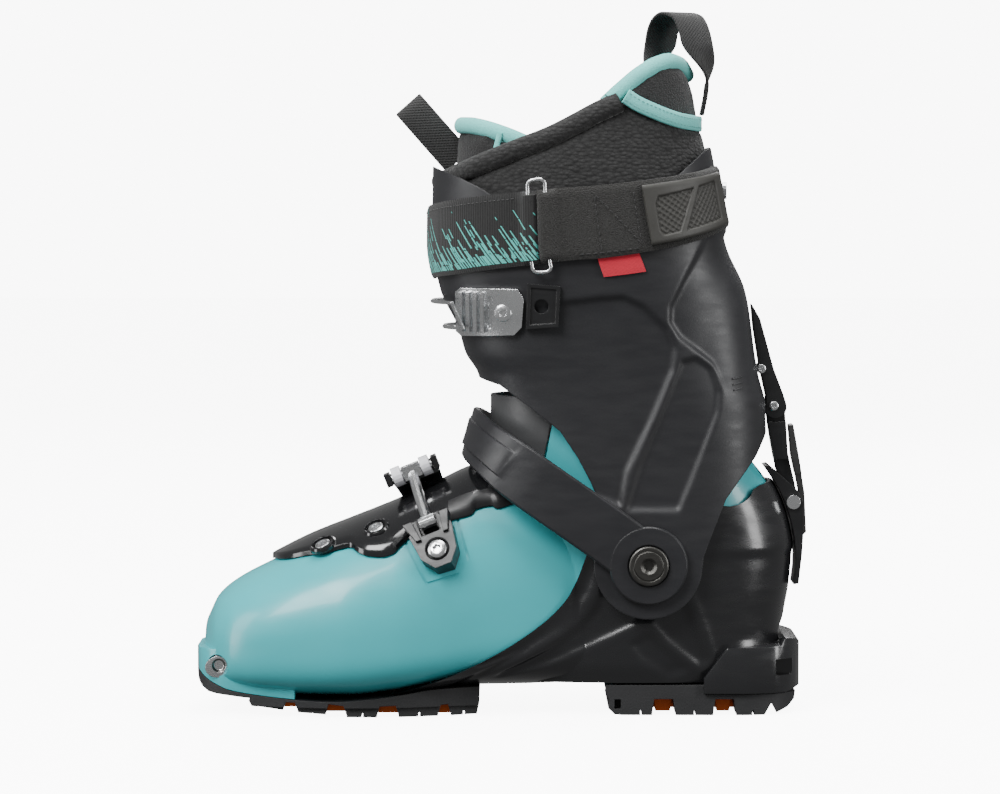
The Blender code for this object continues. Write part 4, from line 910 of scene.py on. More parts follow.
def chassis():
    """Black skin over the heel and arch, with sunk fields, a heel lug and the windows in it."""
    look = [M["chassis"], M["hole_gloss_shade"]]
    form = core("chassis_frame", SKIN_OUT, look, CHASSIS_SHAPES, 300, fine=True)
    rear = arc(REAR_R + SKIN_OUT, -2, -118, 30)
    kept = [(-150, 0), (-150, 150)] + rear + [(136.5, 0)]
    boolean(form, "INTERSECT", prism("keep", kept, -WIDE, WIDE, look))
    lug = prism("lug", plan_outline(92, HEEL_X, 24, 3.4), 10.2, 40, look, "xy")
    side = [(96.5, 5), (96.5, 17.5), (107.4, 31.9), (133.4, 32.6), (135.2, 36.2), (141.4, 35.2)]
    side += [(HEEL_X, 33.5), (HEEL_X, 12.5), (140.8, 10.2), (138, 5)]
    boolean(lug, "INTERSECT", prism("lug_side", side, -60, 60, look))
    bevelled(lug, 0.7, 2, 40)
    apply_modifiers(lug)
    boolean(form, "UNION", lug)
    line = [(-60, 8)] + AQUA_LINE + [(43.5, 84), (45, 96), (52, 116), (66, 121), (88, 119)]
    line += [(97, 108), (104, 98), (117, 100), (122, 110), (160, 108), (170, 9), (60, 6)]
    line = rounded(line, 2)
    boolean(form, "INTERSECT", prism("side", line, -WIDE, WIDE, look))
    arch = [(-34, 0), (-34, 12.9), (-8.6, 13.9), (-8.6, 9.8), (2, 12.2), (18, 14.2), (36, 14.8), (44, 13.2)]
    arch += [(50.5, 9.8), (170, 9.8), (170, 0)]
    boolean(form, "DIFFERENCE", prism("arch", arch, -WIDE, WIDE, look))
    hollow = core("hollow", SKIN_IN, look)
    inner = [(-150, 0), (-150, 150)] + arc(REAR_R + SKIN_IN, -2, -118, 30) + [(134.4, 0)]
    boolean(hollow, "INTERSECT", prism("inner", inner, -WIDE, WIDE, look))
    boolean(form, "DIFFERENCE", hollow, rivet_hole(5.3))
    for low, high in flanks(26, 60):
        # The window's walls take the darker glossy black: painted shade inside the window.
        window = box("window", (130.6, low, 18.6), (139.8, high, 26.2), [M["hole_gloss_shade"]])
        boolean(form, "DIFFERENCE", window)
    boolean(form, "DIFFERENCE", box("seat", (137.4, -9.3, 11.5), (150, 9.3, 31.3), look))
    return finished(form, BASE, "chassis", "shell_chassis", angle=30)


# ------------------------------------------------------------------ sole

# Rubber of the toe in X and Z, up to the first lug
FRONT_GROUND = [(-143.5, 19.6), (-143.0, 15.6), (-140.7, 12.7), (-137.5, 10.6)]
FRONT_GROUND += [(-133.7, 9.8), (-120, 8.4), (-116.6, 8.2)]
# Start, end and the heights of both ends of each front lug
LUGS = [(-116.6, -101.6, 4.6, 3.0), (-94.4, -81.4, 2.2, 1.4), (-71.4, -57.4, 0.2, 0.0)]
LUGS += [(-47.0, -28.8, 0, 0), (-22.6, -10.4, 0, 0.4)]


def sipes(tread, stations, inner, top):
    """Thin cuts across the lugs on both sides."""
    for x in stations:
        for low, high in flanks(inner, 60):
            boolean(tread, "DIFFERENCE", box("sipe", (x, low, -4), (x + 0.8, high, top), [M["tread"]]))


def front_sole():
    """Rockered front tread with its lugs."""
    look = [M["tread"]]
    side = list(FRONT_GROUND)
    for index, (start, end, z0, z1) in enumerate(LUGS):
        roof = 7.2 - index * 0.4 if index < 2 else 5.6
        side += [(start - 1.4, roof), (start, z0), (end, z1), (end + 1.4, roof - 0.3)]
    side = side[:-1] + [(-9.2, 6), (-9.2, 13.2)]
    top = [(x, row_at(SEAM, x)[0]) for x in spread(-9.2, -143.4, 40)]
    tread = prism("front_sole", plan_outline(TOE_X, -9.2, 70), -1, 24, look, "xy")
    boolean(tread, "INTERSECT", prism("side", side + top, -60, 60, look))
    band = plan_outline(-139, -9, 60, -1.5)
    low = prism("low", plan_outline(-143.4, -5, 60, 6), -3, 4.4, look, "xy")
    boolean(low, "DIFFERENCE", prism("kept", band, -6, 9, look, "xy"))
    boolean(tread, "DIFFERENCE", low)
    boolean(tread, "DIFFERENCE", box("bed", (-112, -13, -5), (-12, 13, 5.2), look))
    sipes(tread, (-108.5, -88, -64.6, -38, -17), 20, 2.0)
    return finished(tread, BASE, "tread", "sole_front", angle=30)


def heel_sole():
    """Heel tread with its lugs and the bevel under its rear edge."""
    look = [M["tread"]]
    side = [(97, 9.9), (97, 14.2), (50.2, 14.2), (50.6, 9.9), (52.5, 6.5), (51.6, 3.2)]
    side += [(54.4, 0.4), (58, 0), (72.2, 0), (73.2, 7.6), (82.2, 7.6), (83.4, 0)]
    side += [(101, 0), (102, 7.6), (110.8, 7.6), (112, 0), (125.4, 0), (128.6, 5.4), (131, 0.8), (136.6, 3)]
    side += [(140.2, 6.4), (140.8, 9.9)]
    tread = prism("heel_sole", plan_outline(50, 141, 60, 1.2), -1, 15, look, "xy")
    boolean(tread, "INTERSECT", prism("side", side, -60, 60, look))
    boolean(tread, "DIFFERENCE", box("bed", (66, -13, -5), (124, 13, 6.4), look))
    sipes(tread, (66.6, 92, 119.5), 18, 2.2)
    for low, high in flanks(30, 60):
        boolean(tread, "DIFFERENCE", box("notch", (54.5, low, 3), (57.5, high, 7.4), look))
    return finished(tread, BASE, "tread", "sole_heel", angle=30)


def orange_blocks():
    """Softer compound in the middle of both treads, in separate blocks."""
    look = [M["orange"]]
    front = []
    for start, end, low in ((-104, -92, 2.6), (-84, -69, 1.2), (-61, -45, 0.5), (-31, -21, 0.5)):
        outline = [(start - 3, 5.0), (start - 1, low), (end + 1, low), (end + 3, 5.0)]
        half = 30 if start > -90 else 24
        front.append(prism("block", outline, -half, half, look))
    outline = [(-110, 5.0), (-110, 3.8), (-92, 2.6), (-70.8, 1.0), (-12.4, 1.0), (-12.4, 5.0)]
    front.append(prism("spine", outline, -12.6, 12.6, look))
    obj = joined("orange_front", front)
    finished(bevelled(obj, 0.4), BASE, "tread_insert", "sole_insert_front")
    heel = []
    for start, end in ((74, 81), (103, 109)):
        outline = [(start - 1, 7.4), (start, 1.0), (end, 1.0), (end + 1, 7.4)]
        heel.append(prism("block", outline, -27, 27, look))
    heel.append(box("spine", (66.4, -12.6, 0.8), (123.6, 12.6, 6.1), look))
    obj = joined("orange_heel", heel)
    finished(bevelled(obj, 0.4), BASE, "tread_insert", "sole_insert_heel")


def toe_steel():
    """Steel yoke whose ends show as drop-shaped plates with a socket."""
    parts = []
    look = [M["steel"]]
    middle = -132.3
    bar = rod("yoke", (SOCKET_X, -31, SOCKET_Z), (SOCKET_X, 31, SOCKET_Z), 4.6, look)
    for y in (-1, 1):
        face = y * (sole_half_width(-133) + 0.5)
        drop = []
        for i in range(40):
            a = 2 * math.pi * i / 40
            tail = 1.5 * max(0, math.cos(a - math.radians(205))) ** 2
            corner = 0.9 * max(0, math.cos(a - math.radians(305))) ** 3
            r = 4.9 + tail + corner
            drop.append((middle + r * math.cos(a) * 1.05, 23.0 + r * math.sin(a)))
        low, high = sorted((face, face - y * 4))
        parts.append(bevelled(prism("plate", drop, low, high, look), 0.35, 2))
        apply_modifiers(parts[-1])
        mouth, bottom = (middle, face + y, SOCKET_Z), (middle, face - y * 3.4, SOCKET_Z)
        cone = lathe("cone", mouth, bottom, [(0, 3.4), (0.25, 3.2), (1, 1.0)], [M["dark_steel"]])
        boolean(parts[-1], "DIFFERENCE", cone)
    obj = joined("toe_yoke", [bar] + parts)
    return finished(obj, BASE, "insert_steel", "toe_insert")


# ------------------------------------------------------------------ tongue, flap and straps


def edge_y(x, z):
    """How far from the middle the foot's crown is at height z."""
    medial, _, _, widest, crown, power = row_at(FOOT, x)
    lift = min(max((z - widest) / (crown - widest), 0.0), 0.999)
    return medial * (1 - lift**power) ** (1 / power)


# Lower edge of the tongue cover, in X and Z
COVER_EDGE = [
    (-108, 70.6), (-100, 72.0), (-90, 74.2), (-82, 75.4), (-75, 77.4), (-70, 78.4), (-66, 76.2), (-61, 74.6),
    (-55, 74.2), (-50, 75.4), (-45.5, 79.6), (-41, 83.4), (-36, 85.2), (-28, 88.4), (-21, 91), (-12.5, 93.4),
    (-11, 95.6), (-3, 97.2), (-1.5, 95.8), (5.2, 97.6), (10, 99),
]


def cover():
    """Smooth black cover over the throat, its lower edge scalloped round two screws."""
    xs = [-108.4, -108, -107.2, -106, -104] + spread(-102, 8, 110)
    rows = []
    for x in xs:
        reach = max(edge_y(x, row_at(COVER_EDGE, x)[0]), 1.0)
        if x < -104:
            reach *= math.sqrt(max(0.06, 1 - ((-104 - x) / 4.6) ** 2))
        ring = []
        for out, way in ((0.8, 1), (3.6, -1)):
            for i in range(41):
                y = way * reach * (2 * i / 40 - 1)
                drop = 0.0 if out < 1 else 1.0 * max(0, (abs(y) / reach - 0.9) / 0.1) ** 2
                ring.append(tuple(foot_top(x, y, out - drop)))
        rows.append(ring)
    form = rings_object("tongue_shell", rows, [M["gloss"], M["block"]])
    for face in form.data.polygons:
        x, y, z = face.center / MM
        if x > -24 and z < 0.35 * (x + 24) + 101 and abs(y) > 20:
            face.material_index = 1
    for x, y in TONGUE_SCREWS + tuple((x, -y) for x, y in TONGUE_SCREWS):
        n = foot_normal(x, y)
        here = foot_top(x, y)
        seat = rod("seat", here + n * 2.2, here + n * 9, 4.9, [M["gloss"]])
        boolean(form, "DIFFERENCE", seat)
    finished(form, BASE, "cover", "tongue_cover", angle=35)
    raised = [(0, 6.6), (0.6, 6.6), (1, 5.9), (1, 5.1), (0.2, 4.9)]
    for index, (x, y) in enumerate(TONGUE_SCREWS):
        n = foot_normal(x, y)
        here = foot_top(x, y)
        ring = lathe("ring", here + n * 2.0, here + n * 4.6, raised, [M["gloss"]])
        finished(ring, BASE, "cover")
        ring.name = f"cover_seat_{index + 1}"
        screw = head_screw(f"cover_screw_{index + 1}", here + n * 2.4, n, 3.9, 2.0, M["steel"])
        finished(screw, BASE, "hardware", f"tongue_screw_{index + 1}")


def strap_path(side, steps):
    """Fine path of the instep strap with its width and outward directions."""
    rows = np.array([(x, y * -side, z) for x, y, z in STRAP_PATH], float)
    lengths = run_lengths(rows)
    table = [(s, *p) for s, p in zip(lengths, rows)]
    marks = np.linspace(0, lengths[-1], steps + 1)
    points = curve_rows(table, marks)
    found = []
    for i, here in enumerate(points):
        along = Vector(points[min(i + 1, steps)] - points[max(i - 1, 0)]).normalized()
        if i == steps:
            along = Vector((0, 1 if side < 0 else -1, 0))
        part = i / steps
        wide = Vector((0.6 * (1 - part) + 0.26 * part, 0, 0.8 * (1 - part) + 0.966 * part)).normalized()
        outward = along.cross(wide).normalized()
        wide = outward.cross(along).normalized()
        if outward.dot(Vector((here[0] - 40, here[1], 0))) < 0:
            outward = -outward
        found.append((Vector(here), wide, outward))
    return found


def strap_ring(here, wide, outward, half, thickness, crest):
    """Section of the strap with rounded edges and a raised middle band."""
    t = thickness / 2
    rows = [(-half, -t + 0.6), (-half + 0.6, -t), (half - 0.6, -t), (half, -t + 0.6), (half, t - 0.9)]
    rows += [(half - 0.9, t), (half * 0.55, t), (half * 0.50, t + crest), (-half * 0.50, t + crest)]
    rows += [(-half * 0.55, t), (-half + 0.9, t), (-half, t - 0.9)]
    return [tuple(here + wide * w + outward * o) for w, o in rows]


def strap_end(side, look):
    """Round end of the instep strap on the ankle pivot."""
    profile = [(0, 18.4), (0.75, 18.4), (1, 17.7)]
    return lathe("end", at_pivot(side * 47.5), at_pivot(side * 50.6), profile, look, 72)


def instep_strap():
    """Moulded strap over the instep and its arm on the far side."""
    look = [M["strap"]]
    steps = 70
    near = strap_path(-1, steps)
    far = strap_path(1, steps)
    rings = []
    for i, (here, wide, outward) in enumerate(near):
        share = i / steps
        half = 13.2 - 1.2 * ease(np.array((share - 0.55) / 0.2))
        crest = 0.9 * float(ease(np.array((share - 0.60) / 0.04)))
        rings.append(strap_ring(here, wide, outward, float(half), 3.0, crest))
    for here, wide, outward in reversed(far[int(steps * 0.72) : steps]):
        rings.append(strap_ring(here, wide, outward, 12.0, 3.0, 0.9))
    strap = rings_object("strap_over_instep", rings, look)
    boolean(strap, "UNION", strap_end(-1, look))
    seat = rod("seat", at_pivot(-49.4), at_pivot(-56), 9.9, look, 64)
    boolean(strap, "DIFFERENCE", seat, rivet_hole(5.3))
    finished(strap, BASE, "strap", "instep_strap", angle=35)
    rings = [strap_ring(*row, 13.2, 3.0, 0.0) for row in far[: int(steps * 0.56)]]
    arm = rings_object("strap_arm", rings, look)
    boolean(arm, "UNION", strap_end(1, look))
    boolean(arm, "DIFFERENCE", rivet_hole(5.3))
    finished(arm, BASE, "strap", "instep_strap_arm", angle=35)


def pivots():
    """Wide pivot bolts with a hexagon recess and a plain ring on the face."""
    look = [M["dark_steel"]]
    profile = [(0, 5), (0.0, 5), (0.86, 5), (0.87, 9.2), (0.965, 9.2), (0.985, 8.6)]
    profile += [(0.985, 7.4), (0.975, 7.2), (0.975, 6.9), (1.0, 6.6)]
    for side, tag in ((-1, "medial"), (1, "lateral")):
        bolt = lathe(f"pivot_bolt_{tag}", at_pivot(side * 37), at_pivot(side * 52.8), profile, look, 72)
        hexagon = rod("hex", at_pivot(side * 60), at_pivot(side * 49.5), 2.4, look, 6)
        seat = lathe("seat", at_pivot(side * 51.6), at_pivot(side * 54), [(0, 2.4), (1, 5.2)], look, 48)
        boolean(bolt, "DIFFERENCE", seat, hexagon)
        finished(bolt, BASE, "pivot", f"ankle_rivet_{tag}", angle=25)


def flap():
    """Grey inner flap that shows above the instep strap."""
    look = [M["flap"]]
    form = grid_object("throat_flap", even_tube(ANKLE, 0.0, 106, 150, 160, 1.5), look)
    side = [(-10, 108.5), (18.4, 107.5), (24.2, 137.2), (22, 143), (4, 152), (-10, 150)]
    boolean(form, "INTERSECT", prism("side", side, -60, 60, look))
    boolean(form, "DIFFERENCE", grid_object("hollow", even_tube(ANKLE, -2.6, 100, 170, 120, 3), look))
    finished(form, BASE, "flap", "instep_flap")


# ------------------------------------------------------------------ cuff

# Outline, height, edge width and fade of each sunk field
CUFF_SHAPES = [
    ([(8, 192), (47, 196.7), (58, 197.4), (67.5, 193), (78.6, 182.4), (82.3, 173.6), (81.3, 163.8)]
     + [(71.2, 140.2), (59.5, 115.9), (56.7, 100), (30, 110), (0, 150)], -2.1, 2.6, ((4, 168), (40, 172))),
    ([(98.5, 226), (87.0, 205.9), (80.4, 192.8), (80.2, 185.3), (84.9, 178.5), (99.9, 167.3), (108.5, 150)]
     + [(112, 132), (150, 130), (150, 230)], -2.1, 2.8, ((118, 180), (98, 186))),
    ([(85.8, 167.4), (92.4, 169.0), (99.9, 164.0), (103.2, 153.4), (102.5, 144), (89.6, 111.2), (84, 98)]
     + [(60, 98), (66, 118), (79, 150)], -1.6, 2.2, None),
]


def cuff_outline():
    """Side outline of the cuff in X and Z, round its ear at the ankle pivot."""
    top = [(130, 262), (101.8, 262), (100.6, 267), (99.4, 267.5), (96, 265), (88, 258), (79, 250), (60, 243)]
    top += [(20, 240), (-2, 244), (-8, 248), (-18, 253), (-27, 256.5), (-31.5, 258.6), (-34, 259)]
    front = [(-40, 259), (-40, 150), (-16.5, 163.6), (-14.6, 164.4), (-10, 158.6)]
    front += [(0.5, 155.7), (14, 146), (28.6, 134.6)]
    lower = [(37, 122), (42.7, 111.2), (48, 99), (54, 92)] + arc(25.5, 52, 256, 36)
    rear = [(96, 76), (101, 89), (106.5, 102.7), (114.9, 114), (121, 122), (127, 133), (132, 140), (134, 150)]
    return front + lower + rear + top


def cuff():
    """Upper cuff, one wall thick, with its sunk fields and rear slots."""
    look = [M["cuff"], M["rim"]]
    grid = even_tube(CUFF, 0.0, 45, 275, 520, 0.8)
    grid = grid + grid_normals(grid) * relief(grid, CUFF_SHAPES)[..., None]
    form = grid_object("cuff_form", grid, look)
    boolean(form, "INTERSECT", prism("side", cuff_outline(), -WIDE, WIDE, look))
    hollow = grid_object("hollow", even_tube(CUFF, -CUFF_WALL - 0.1, 40, 300, 160, 3), [M["rim"]])
    boolean(form, "DIFFERENCE", hollow, rivet_hole(5.4))
    boolean(form, "DIFFERENCE", box("notch", (100, -15, 90), (140, 15, 142), look))
    slot = [(76.5, 210.3), (84.3, 206.4), (97.5, 228), (88, 232)]
    for low, high in flanks(49.2, 70):
        # The slot's walls take the darker glossy black: painted shade inside the slot.
        boolean(form, "DIFFERENCE", prism("slot", slot, low, high, [M["hole_gloss_shade"]]))
    return finished(form, UPPER, "cuff", "cuff", angle=35)


def strap_low(turn):
    return line_at(STRAP_LINE, abs(turn))[0]


def strap_high(turn):
    return line_at(STRAP_LINE, abs(turn))[1]


def band(name, turns, low, high, inner, outer, materials, levels=14, soft=0.6, wobble=None, fold=None):
    """A strap round the cuff with softened edges; UV runs along it and up it, in metres."""
    rings, uvs = [], []
    run, last = 0.0, None
    for turn in turns:
        bottom, top = low(turn), high(turn)
        heights = [bottom + (top - bottom) * i / levels for i in range(levels + 1)]
        middle = cuff_point(turn, bottom, outer)
        if last is not None:
            run += (middle - last).length
        last = middle
        ring = []
        for z in heights:
            ring.append((cuff_point(turn, z, inner), z - bottom))
        for z in reversed(heights):
            edge = min(z - bottom, top - z)
            out = outer - soft * max(0.0, 1 - edge / (soft * 2.2)) ** 2
            if wobble:
                out += wobble(run, z - bottom)
            if fold:
                out += fold(turn) * min(1.0, edge / 1.5)
            ring.append((cuff_point(turn, z, out), z - bottom))
        rings.append([p for p, _ in ring])
        uvs += [(run * MM, v * MM) for _, v in ring]
    return rings_object(name, rings, materials, uvs=uvs)


def stitches(name, points, outs, look, pitch=3.0, length=2.1, radius=0.24):
    """A row of short sewn stitches along a line; outs are the outward directions at its points."""
    path = [Vector(p) for p in points]
    lengths = [0.0]
    for a, b in zip(path, path[1:]):
        lengths.append(lengths[-1] + (b - a).length)
    table = np.array([[*p] for p in path])
    ways = np.array([[*Vector(o)] for o in outs])

    def at(s, rows):
        return Vector([float(np.interp(s, lengths, rows[:, k])) for k in range(3)])

    verts, faces = [], []
    for k in range(int(lengths[-1] // pitch)):
        s = (k + 0.25) * pitch
        out = at(s, ways).normalized()
        a, b = at(s, table), at(s + length, table)
        along = (b - a).normalized()
        side = along.cross(out).normalized()
        start = len(verts)
        for share, scale, lift in ((0, 0.35, -0.15), (0.2, 1, 0.18), (0.8, 1, 0.18), (1, 0.35, -0.15)):
            centre = a + (b - a) * share + out * lift
            for j in range(6):
                t = math.pi * j / 3
                verts.append(centre + (side * math.cos(t) + out * math.sin(t)) * radius * scale)
        for r in range(3):
            for j in range(6):
                q = (j + 1) % 6
                first = start + r * 6
                faces.append((first + j, first + q, first + 6 + q, first + 6 + j))
        faces.append(tuple(start + j for j in range(6)))
        faces.append(tuple(start + 18 + j for j in range(6)))
    return mesh_object(name, [tuple(v) for v in verts], faces, [look])


def cuff_line(turns, heights, out):
    """Points and outward directions on the cuff's surface."""
    points = [cuff_point(t, z, out) for t, z in zip(turns, heights)]
    outs = [cuff_point(t, z, out + 1) - cuff_point(t, z, out) for t, z in zip(turns, heights)]
    return points, outs


def eased(value):
    return float(ease(np.array(value)))


def near_fold(turn):
    """How far the webbing stands out where it folds round the steel loop."""
    return 3.5 * eased((turn - 71.5) / 3.2) * (1 - 0.5 * eased((turn - 77) / 1.6))


def far_fold(turn):
    """How far the hook-and-loop tab stands out where it folds round the steel loop."""
    return 2.6 * (1 - eased((turn - 82.2) / 3.0)) * (0.45 + 0.55 * eased((turn - 78.8) / 1.3))


def crease(run, height):
    """Soft creases of the tab near its fold."""
    return 0.25 * math.sin(run * 0.9) * math.exp(-run / 14)


def straps():
    """Printed webbing, the tab sewn behind it, the grip on the tab and the plain red label."""
    turns = spread(-166, 78.5, 190)
    strap = band("power_webbing", turns, strap_low, strap_high, 0.6, 2.5, [M["webbing"]], 16, fold=near_fold)
    finished(strap, UPPER, "webbing", "power_strap", angle=50)
    line = spread(-20, 70, 60)
    points, outs = cuff_line(line, [strap_high(t) - 3 for t in line], 2.5)
    row = stitches("webbing_stitches", points, outs, M["thread_grey"], 2.2, 1.6, 0.14)
    finished(row, UPPER, "webbing")

    turns = spread(78.7, 163, 130)
    tab = band("felt_tab", turns, strap_low, strap_high, 0.6, 3.7, [M["felt"]], 16, 0.9, crease, far_fold)
    finished(tab, UPPER, "felt", "velcro_tab", angle=60)
    left, right = 93.5, 106.5
    # Turns of both ends; heights from the strap's low edge where positive, from its high edge where not
    seams = [(left, left, 3, -3), (right, right, 3, -3), (left, right, -4, 4), (left - 4.5, right, 2.4, 2.4)]
    rows = []
    for a, b, za, zb in seams:
        line = spread(a, b, 16)
        heights = []
        for i, t in enumerate(line):
            low = strap_low(t) + za if za > 0 else strap_high(t) + za
            high = strap_high(t) + zb if zb < 0 else strap_low(t) + zb
            heights.append(low + (high - low) * i / 16)
        rows.append(stitches("row", *cuff_line(line, heights, 3.75), M["thread"], 3.2, 2.2, 0.3))
    finished(joined("tab_stitches", rows), UPPER, "felt")
    grip()
    turns = spread(92, 105, 12)
    lows, highs = (lambda t: strap_low(t) - 8.6), (lambda t: strap_low(t) + 0.4)
    label = band("plain_label", turns, lows, highs, 0.7, 1.3, [M["label"]], 6, 0.2)
    finished(label, UPPER, "label", "strap_label", angle=60)


def grip():
    """Moulded grip: a raised border round two slanting fields of crossed ridges."""
    look = [M["grip"]]
    turns = spread(110, 157, 130)
    lows, highs = (lambda t: strap_low(t) + 2.6), (lambda t: strap_high(t) - 2.0)
    middle = [cuff_point(t, 235, 4) for t in turns]
    run_total = sum((b - a).length for a, b in zip(middle, middle[1:]))
    height = 26.5

    def field(u, v):
        slant = 0.62 * (v - height / 2)
        left = u - 5.0 - max(0, 6 - v) * 0.6 - max(0, v - 18) * 0.5
        right = run_total - 5.5 - u - max(0, v - 20) * 0.5
        inside = max(min(left, 21.5 + slant - u), min(u - 24.5 - slant, right))
        inside = min(inside, v - 3.4, height - 4.6 - v)
        sunk = -1.1 * eased(inside + 0.2)
        if inside > 0.9:
            a, b = (u * 0.85 + v * 0.95), (u * 0.85 - v * 0.95)
            ridge = max(math.cos(a * 2.2), math.cos(b * 2.2))
            sunk += 0.55 * max(0, ridge)
        return sunk

    form = band("grip_form", turns, lows, highs, 4.0, 5.7, look, 60, 0.8, field)
    finished(form, UPPER, "grip", "grip_pad", angle=60)


def steel_loop():
    """Wire loop that joins the two halves of the power strap."""
    left = [(75.6, z) for z in spread(210.6, 249.8, 8)]
    right = [(81.6, z) for z in spread(250.6, 211.6, 8)]
    top = [(76.0, 251.0), (76.9, 251.9), (78.6, 252.3), (80.3, 252.3), (81.2, 251.6)]
    foot = [(81.2, 210.4), (80.3, 209.6), (78.6, 209.2), (76.9, 209.2), (76.0, 209.7)]
    points = [cuff_point(turn, z, 4.4) for turn, z in left + top + right + foot]
    loop = tube("steel_ring", points, 0.95, [M["steel"]], 12, True)
    finished(loop, "strap_loop", "buckle", "strap_loop", angle=60)


# ------------------------------------------------------------------ liner


def padded_shell(name, low, high, out, thickness, outline, look, around=200, step=2.0):
    """A wall that follows the inside of the cuff, cut to a side outline."""
    form = grid_object(name, even_tube(CUFF, out, low, high, around, step), [look])
    boolean(form, "INTERSECT", prism("side", outline, -WIDE, WIDE, [look]))
    inner = even_tube(CUFF, out - thickness, low - 10, high + 10, 120, 4)
    boolean(form, "DIFFERENCE", grid_object("hollow", inner, [look]))
    return form


def puffed(obj, voxel, pressure=4.0):
    """Fills a closed cloth with air for a few frames, so that it bulges and creases."""
    step = obj.modifiers.new("even", "REMESH")
    step.mode = "VOXEL"
    step.voxel_size = voxel
    apply_modifiers(obj)
    before = np.empty(len(obj.data.vertices) * 3)
    obj.data.vertices.foreach_get("co", before)
    cloth = obj.modifiers.new("cloth", "CLOTH")
    settings = cloth.settings
    settings.use_pressure = True
    settings.uniform_pressure_force = pressure
    settings.effector_weights.gravity = 0.0
    settings.quality = 6
    settings.mass = 0.25
    settings.air_damping = 4.0
    cloth.point_cache.frame_start = 1
    cloth.point_cache.frame_end = PUFF_FRAMES
    scene = bpy.context.scene
    for number in range(1, PUFF_FRAMES + 1):
        scene.frame_set(number)
    apply_modifiers(obj)
    scene.frame_set(1)
    after = np.empty_like(before)
    obj.data.vertices.foreach_get("co", after)
    change = (after - before).reshape(-1, 3)
    size = np.linalg.norm(change, axis=1, keepdims=True)
    change *= np.minimum(1, PUFF_CAP / np.maximum(size, 1e-9))
    obj.data.vertices.foreach_set("co", (before.reshape(-1, 3) + change).ravel())
    step = obj.modifiers.new("fine", "SUBSURF")
    step.levels = step.render_levels = 1
    apply_modifiers(obj)
    return obj


# Upper edge of the liner's leg, from its rear to its front
SHAFT_TOP = [(95, 277), (88, 277.4), (80, 279.6), (71, 283.6), (62, 288.6), (56, 287.6), (46, 283)]
SHAFT_TOP += [(36, 277.6), (24, 271.6), (8, 265.4), (-4, 260.6), (-14, 256.4), (-28, 250)]


def liner():
    """Leg of the liner and the two rolled edges of its front opening."""
    lower = arc(FRONT_R + 1.2, -60, 27, 16)
    side = SHAFT_TOP + [(-40, 246), (-40, 168), (-8, 168), (26, 163)]
    side += list(reversed(lower)) + [(150, 108), (150, 277)]
    shaft = padded_shell("liner_leg", 100, 300, LINER_OUT, 6.5, side, M["mesh"])
    puffed(shaft, 0.0045)
    finished(shaft, UPPER, "liner", "liner_shaft", angle=70)
    for y in (-1, 1):
        path = smooth_path([edge_point(x, z + 0.6, y, LINER_OUT - 1.6) for x, z in SHAFT_TOP[5:]], 46)
        roll = tube(f"rolled_edge_{(y + 3) // 2}", path, 4.3, [M["mesh"]], 18, flat=1.15)
        finished(roll, UPPER, "liner", angle=70)


def edge_point(x, z, side, out):
    """Point on a liner wall above x at height z, on one side of the boot."""
    front, rear, half, power = row_at(CUFF, z)
    middle, reach = (front + rear) / 2, (rear - front) / 2 + out
    share = min(abs((x - middle) / reach), 0.9999)
    y = (half + out) * (1 - share**power) ** (1 / power)
    return Vector((x, side * y, z))


def smooth_path(points, steps):
    """Evenly spaced points on a smooth curve through a few points."""
    rows = np.array([[*p] for p in points], float)
    lengths = run_lengths(rows)
    table = [(s, *p) for s, p in zip(lengths, rows)]
    return [Vector(p) for p in curve_rows(table, np.linspace(0, lengths[-1], steps + 1))]


def ribbon(name, path, outs, width_way, half, thickness, look):
    """A flat ribbon along a path, rounded at its edges."""
    rings, uvs = [], []
    run, last = 0.0, None
    for here, out, wide in zip(path, outs, width_way):
        if last is not None:
            run += (here - last).length
        last = here
        t = thickness / 2
        rows = [(-half, -t * 0.4), (-half + 0.5, -t), (0, -t), (half - 0.5, -t), (half, -t * 0.4)]
        rows += [(half, t * 0.4), (half - 0.5, t), (0, t), (-half + 0.5, t), (-half, t * 0.4)]
        rings.append([here + wide * w + out * o for w, o in rows])
        uvs += [(run * MM, w * MM) for w, _ in rows]
    return rings_object(name, rings, [look], uvs=uvs)


def collar():
    """Soft rear collar: a padded wall with an aqua rim over its top."""
    side = [(50, 287.4), (58, 294.5), (66, 301), (74, 305.6), (80, 307.4), (86, 305.6), (91, 297)]
    side += [(97, 273.5), (80, 277.0), (66, 283.6), (58, 287.0)]
    wall = padded_shell("collar_pad", 270, 315, LINER_OUT - 0.6, 5.6, side, M["lining"], 200, 1.5)
    puffed(wall, 0.004)
    finished(wall, UPPER, "collar", "liner_collar", angle=70)
    top = [(52, 289), (58, 294.6), (66, 301.2), (74, 305.8), (80, 307.6), (86, 306.2), (89.5, 302)]
    for y in (-1, 1):
        path = smooth_path([edge_point(x, z, y, LINER_OUT - 3.4) for x, z in top], 40)
        rim = tube(f"collar_rim_{(y + 3) // 2}", path, 3.4, [M["aqua_edge"]], 16, flat=1.2)
        finished(rim, UPPER, "collar", angle=70)
    collar_band()


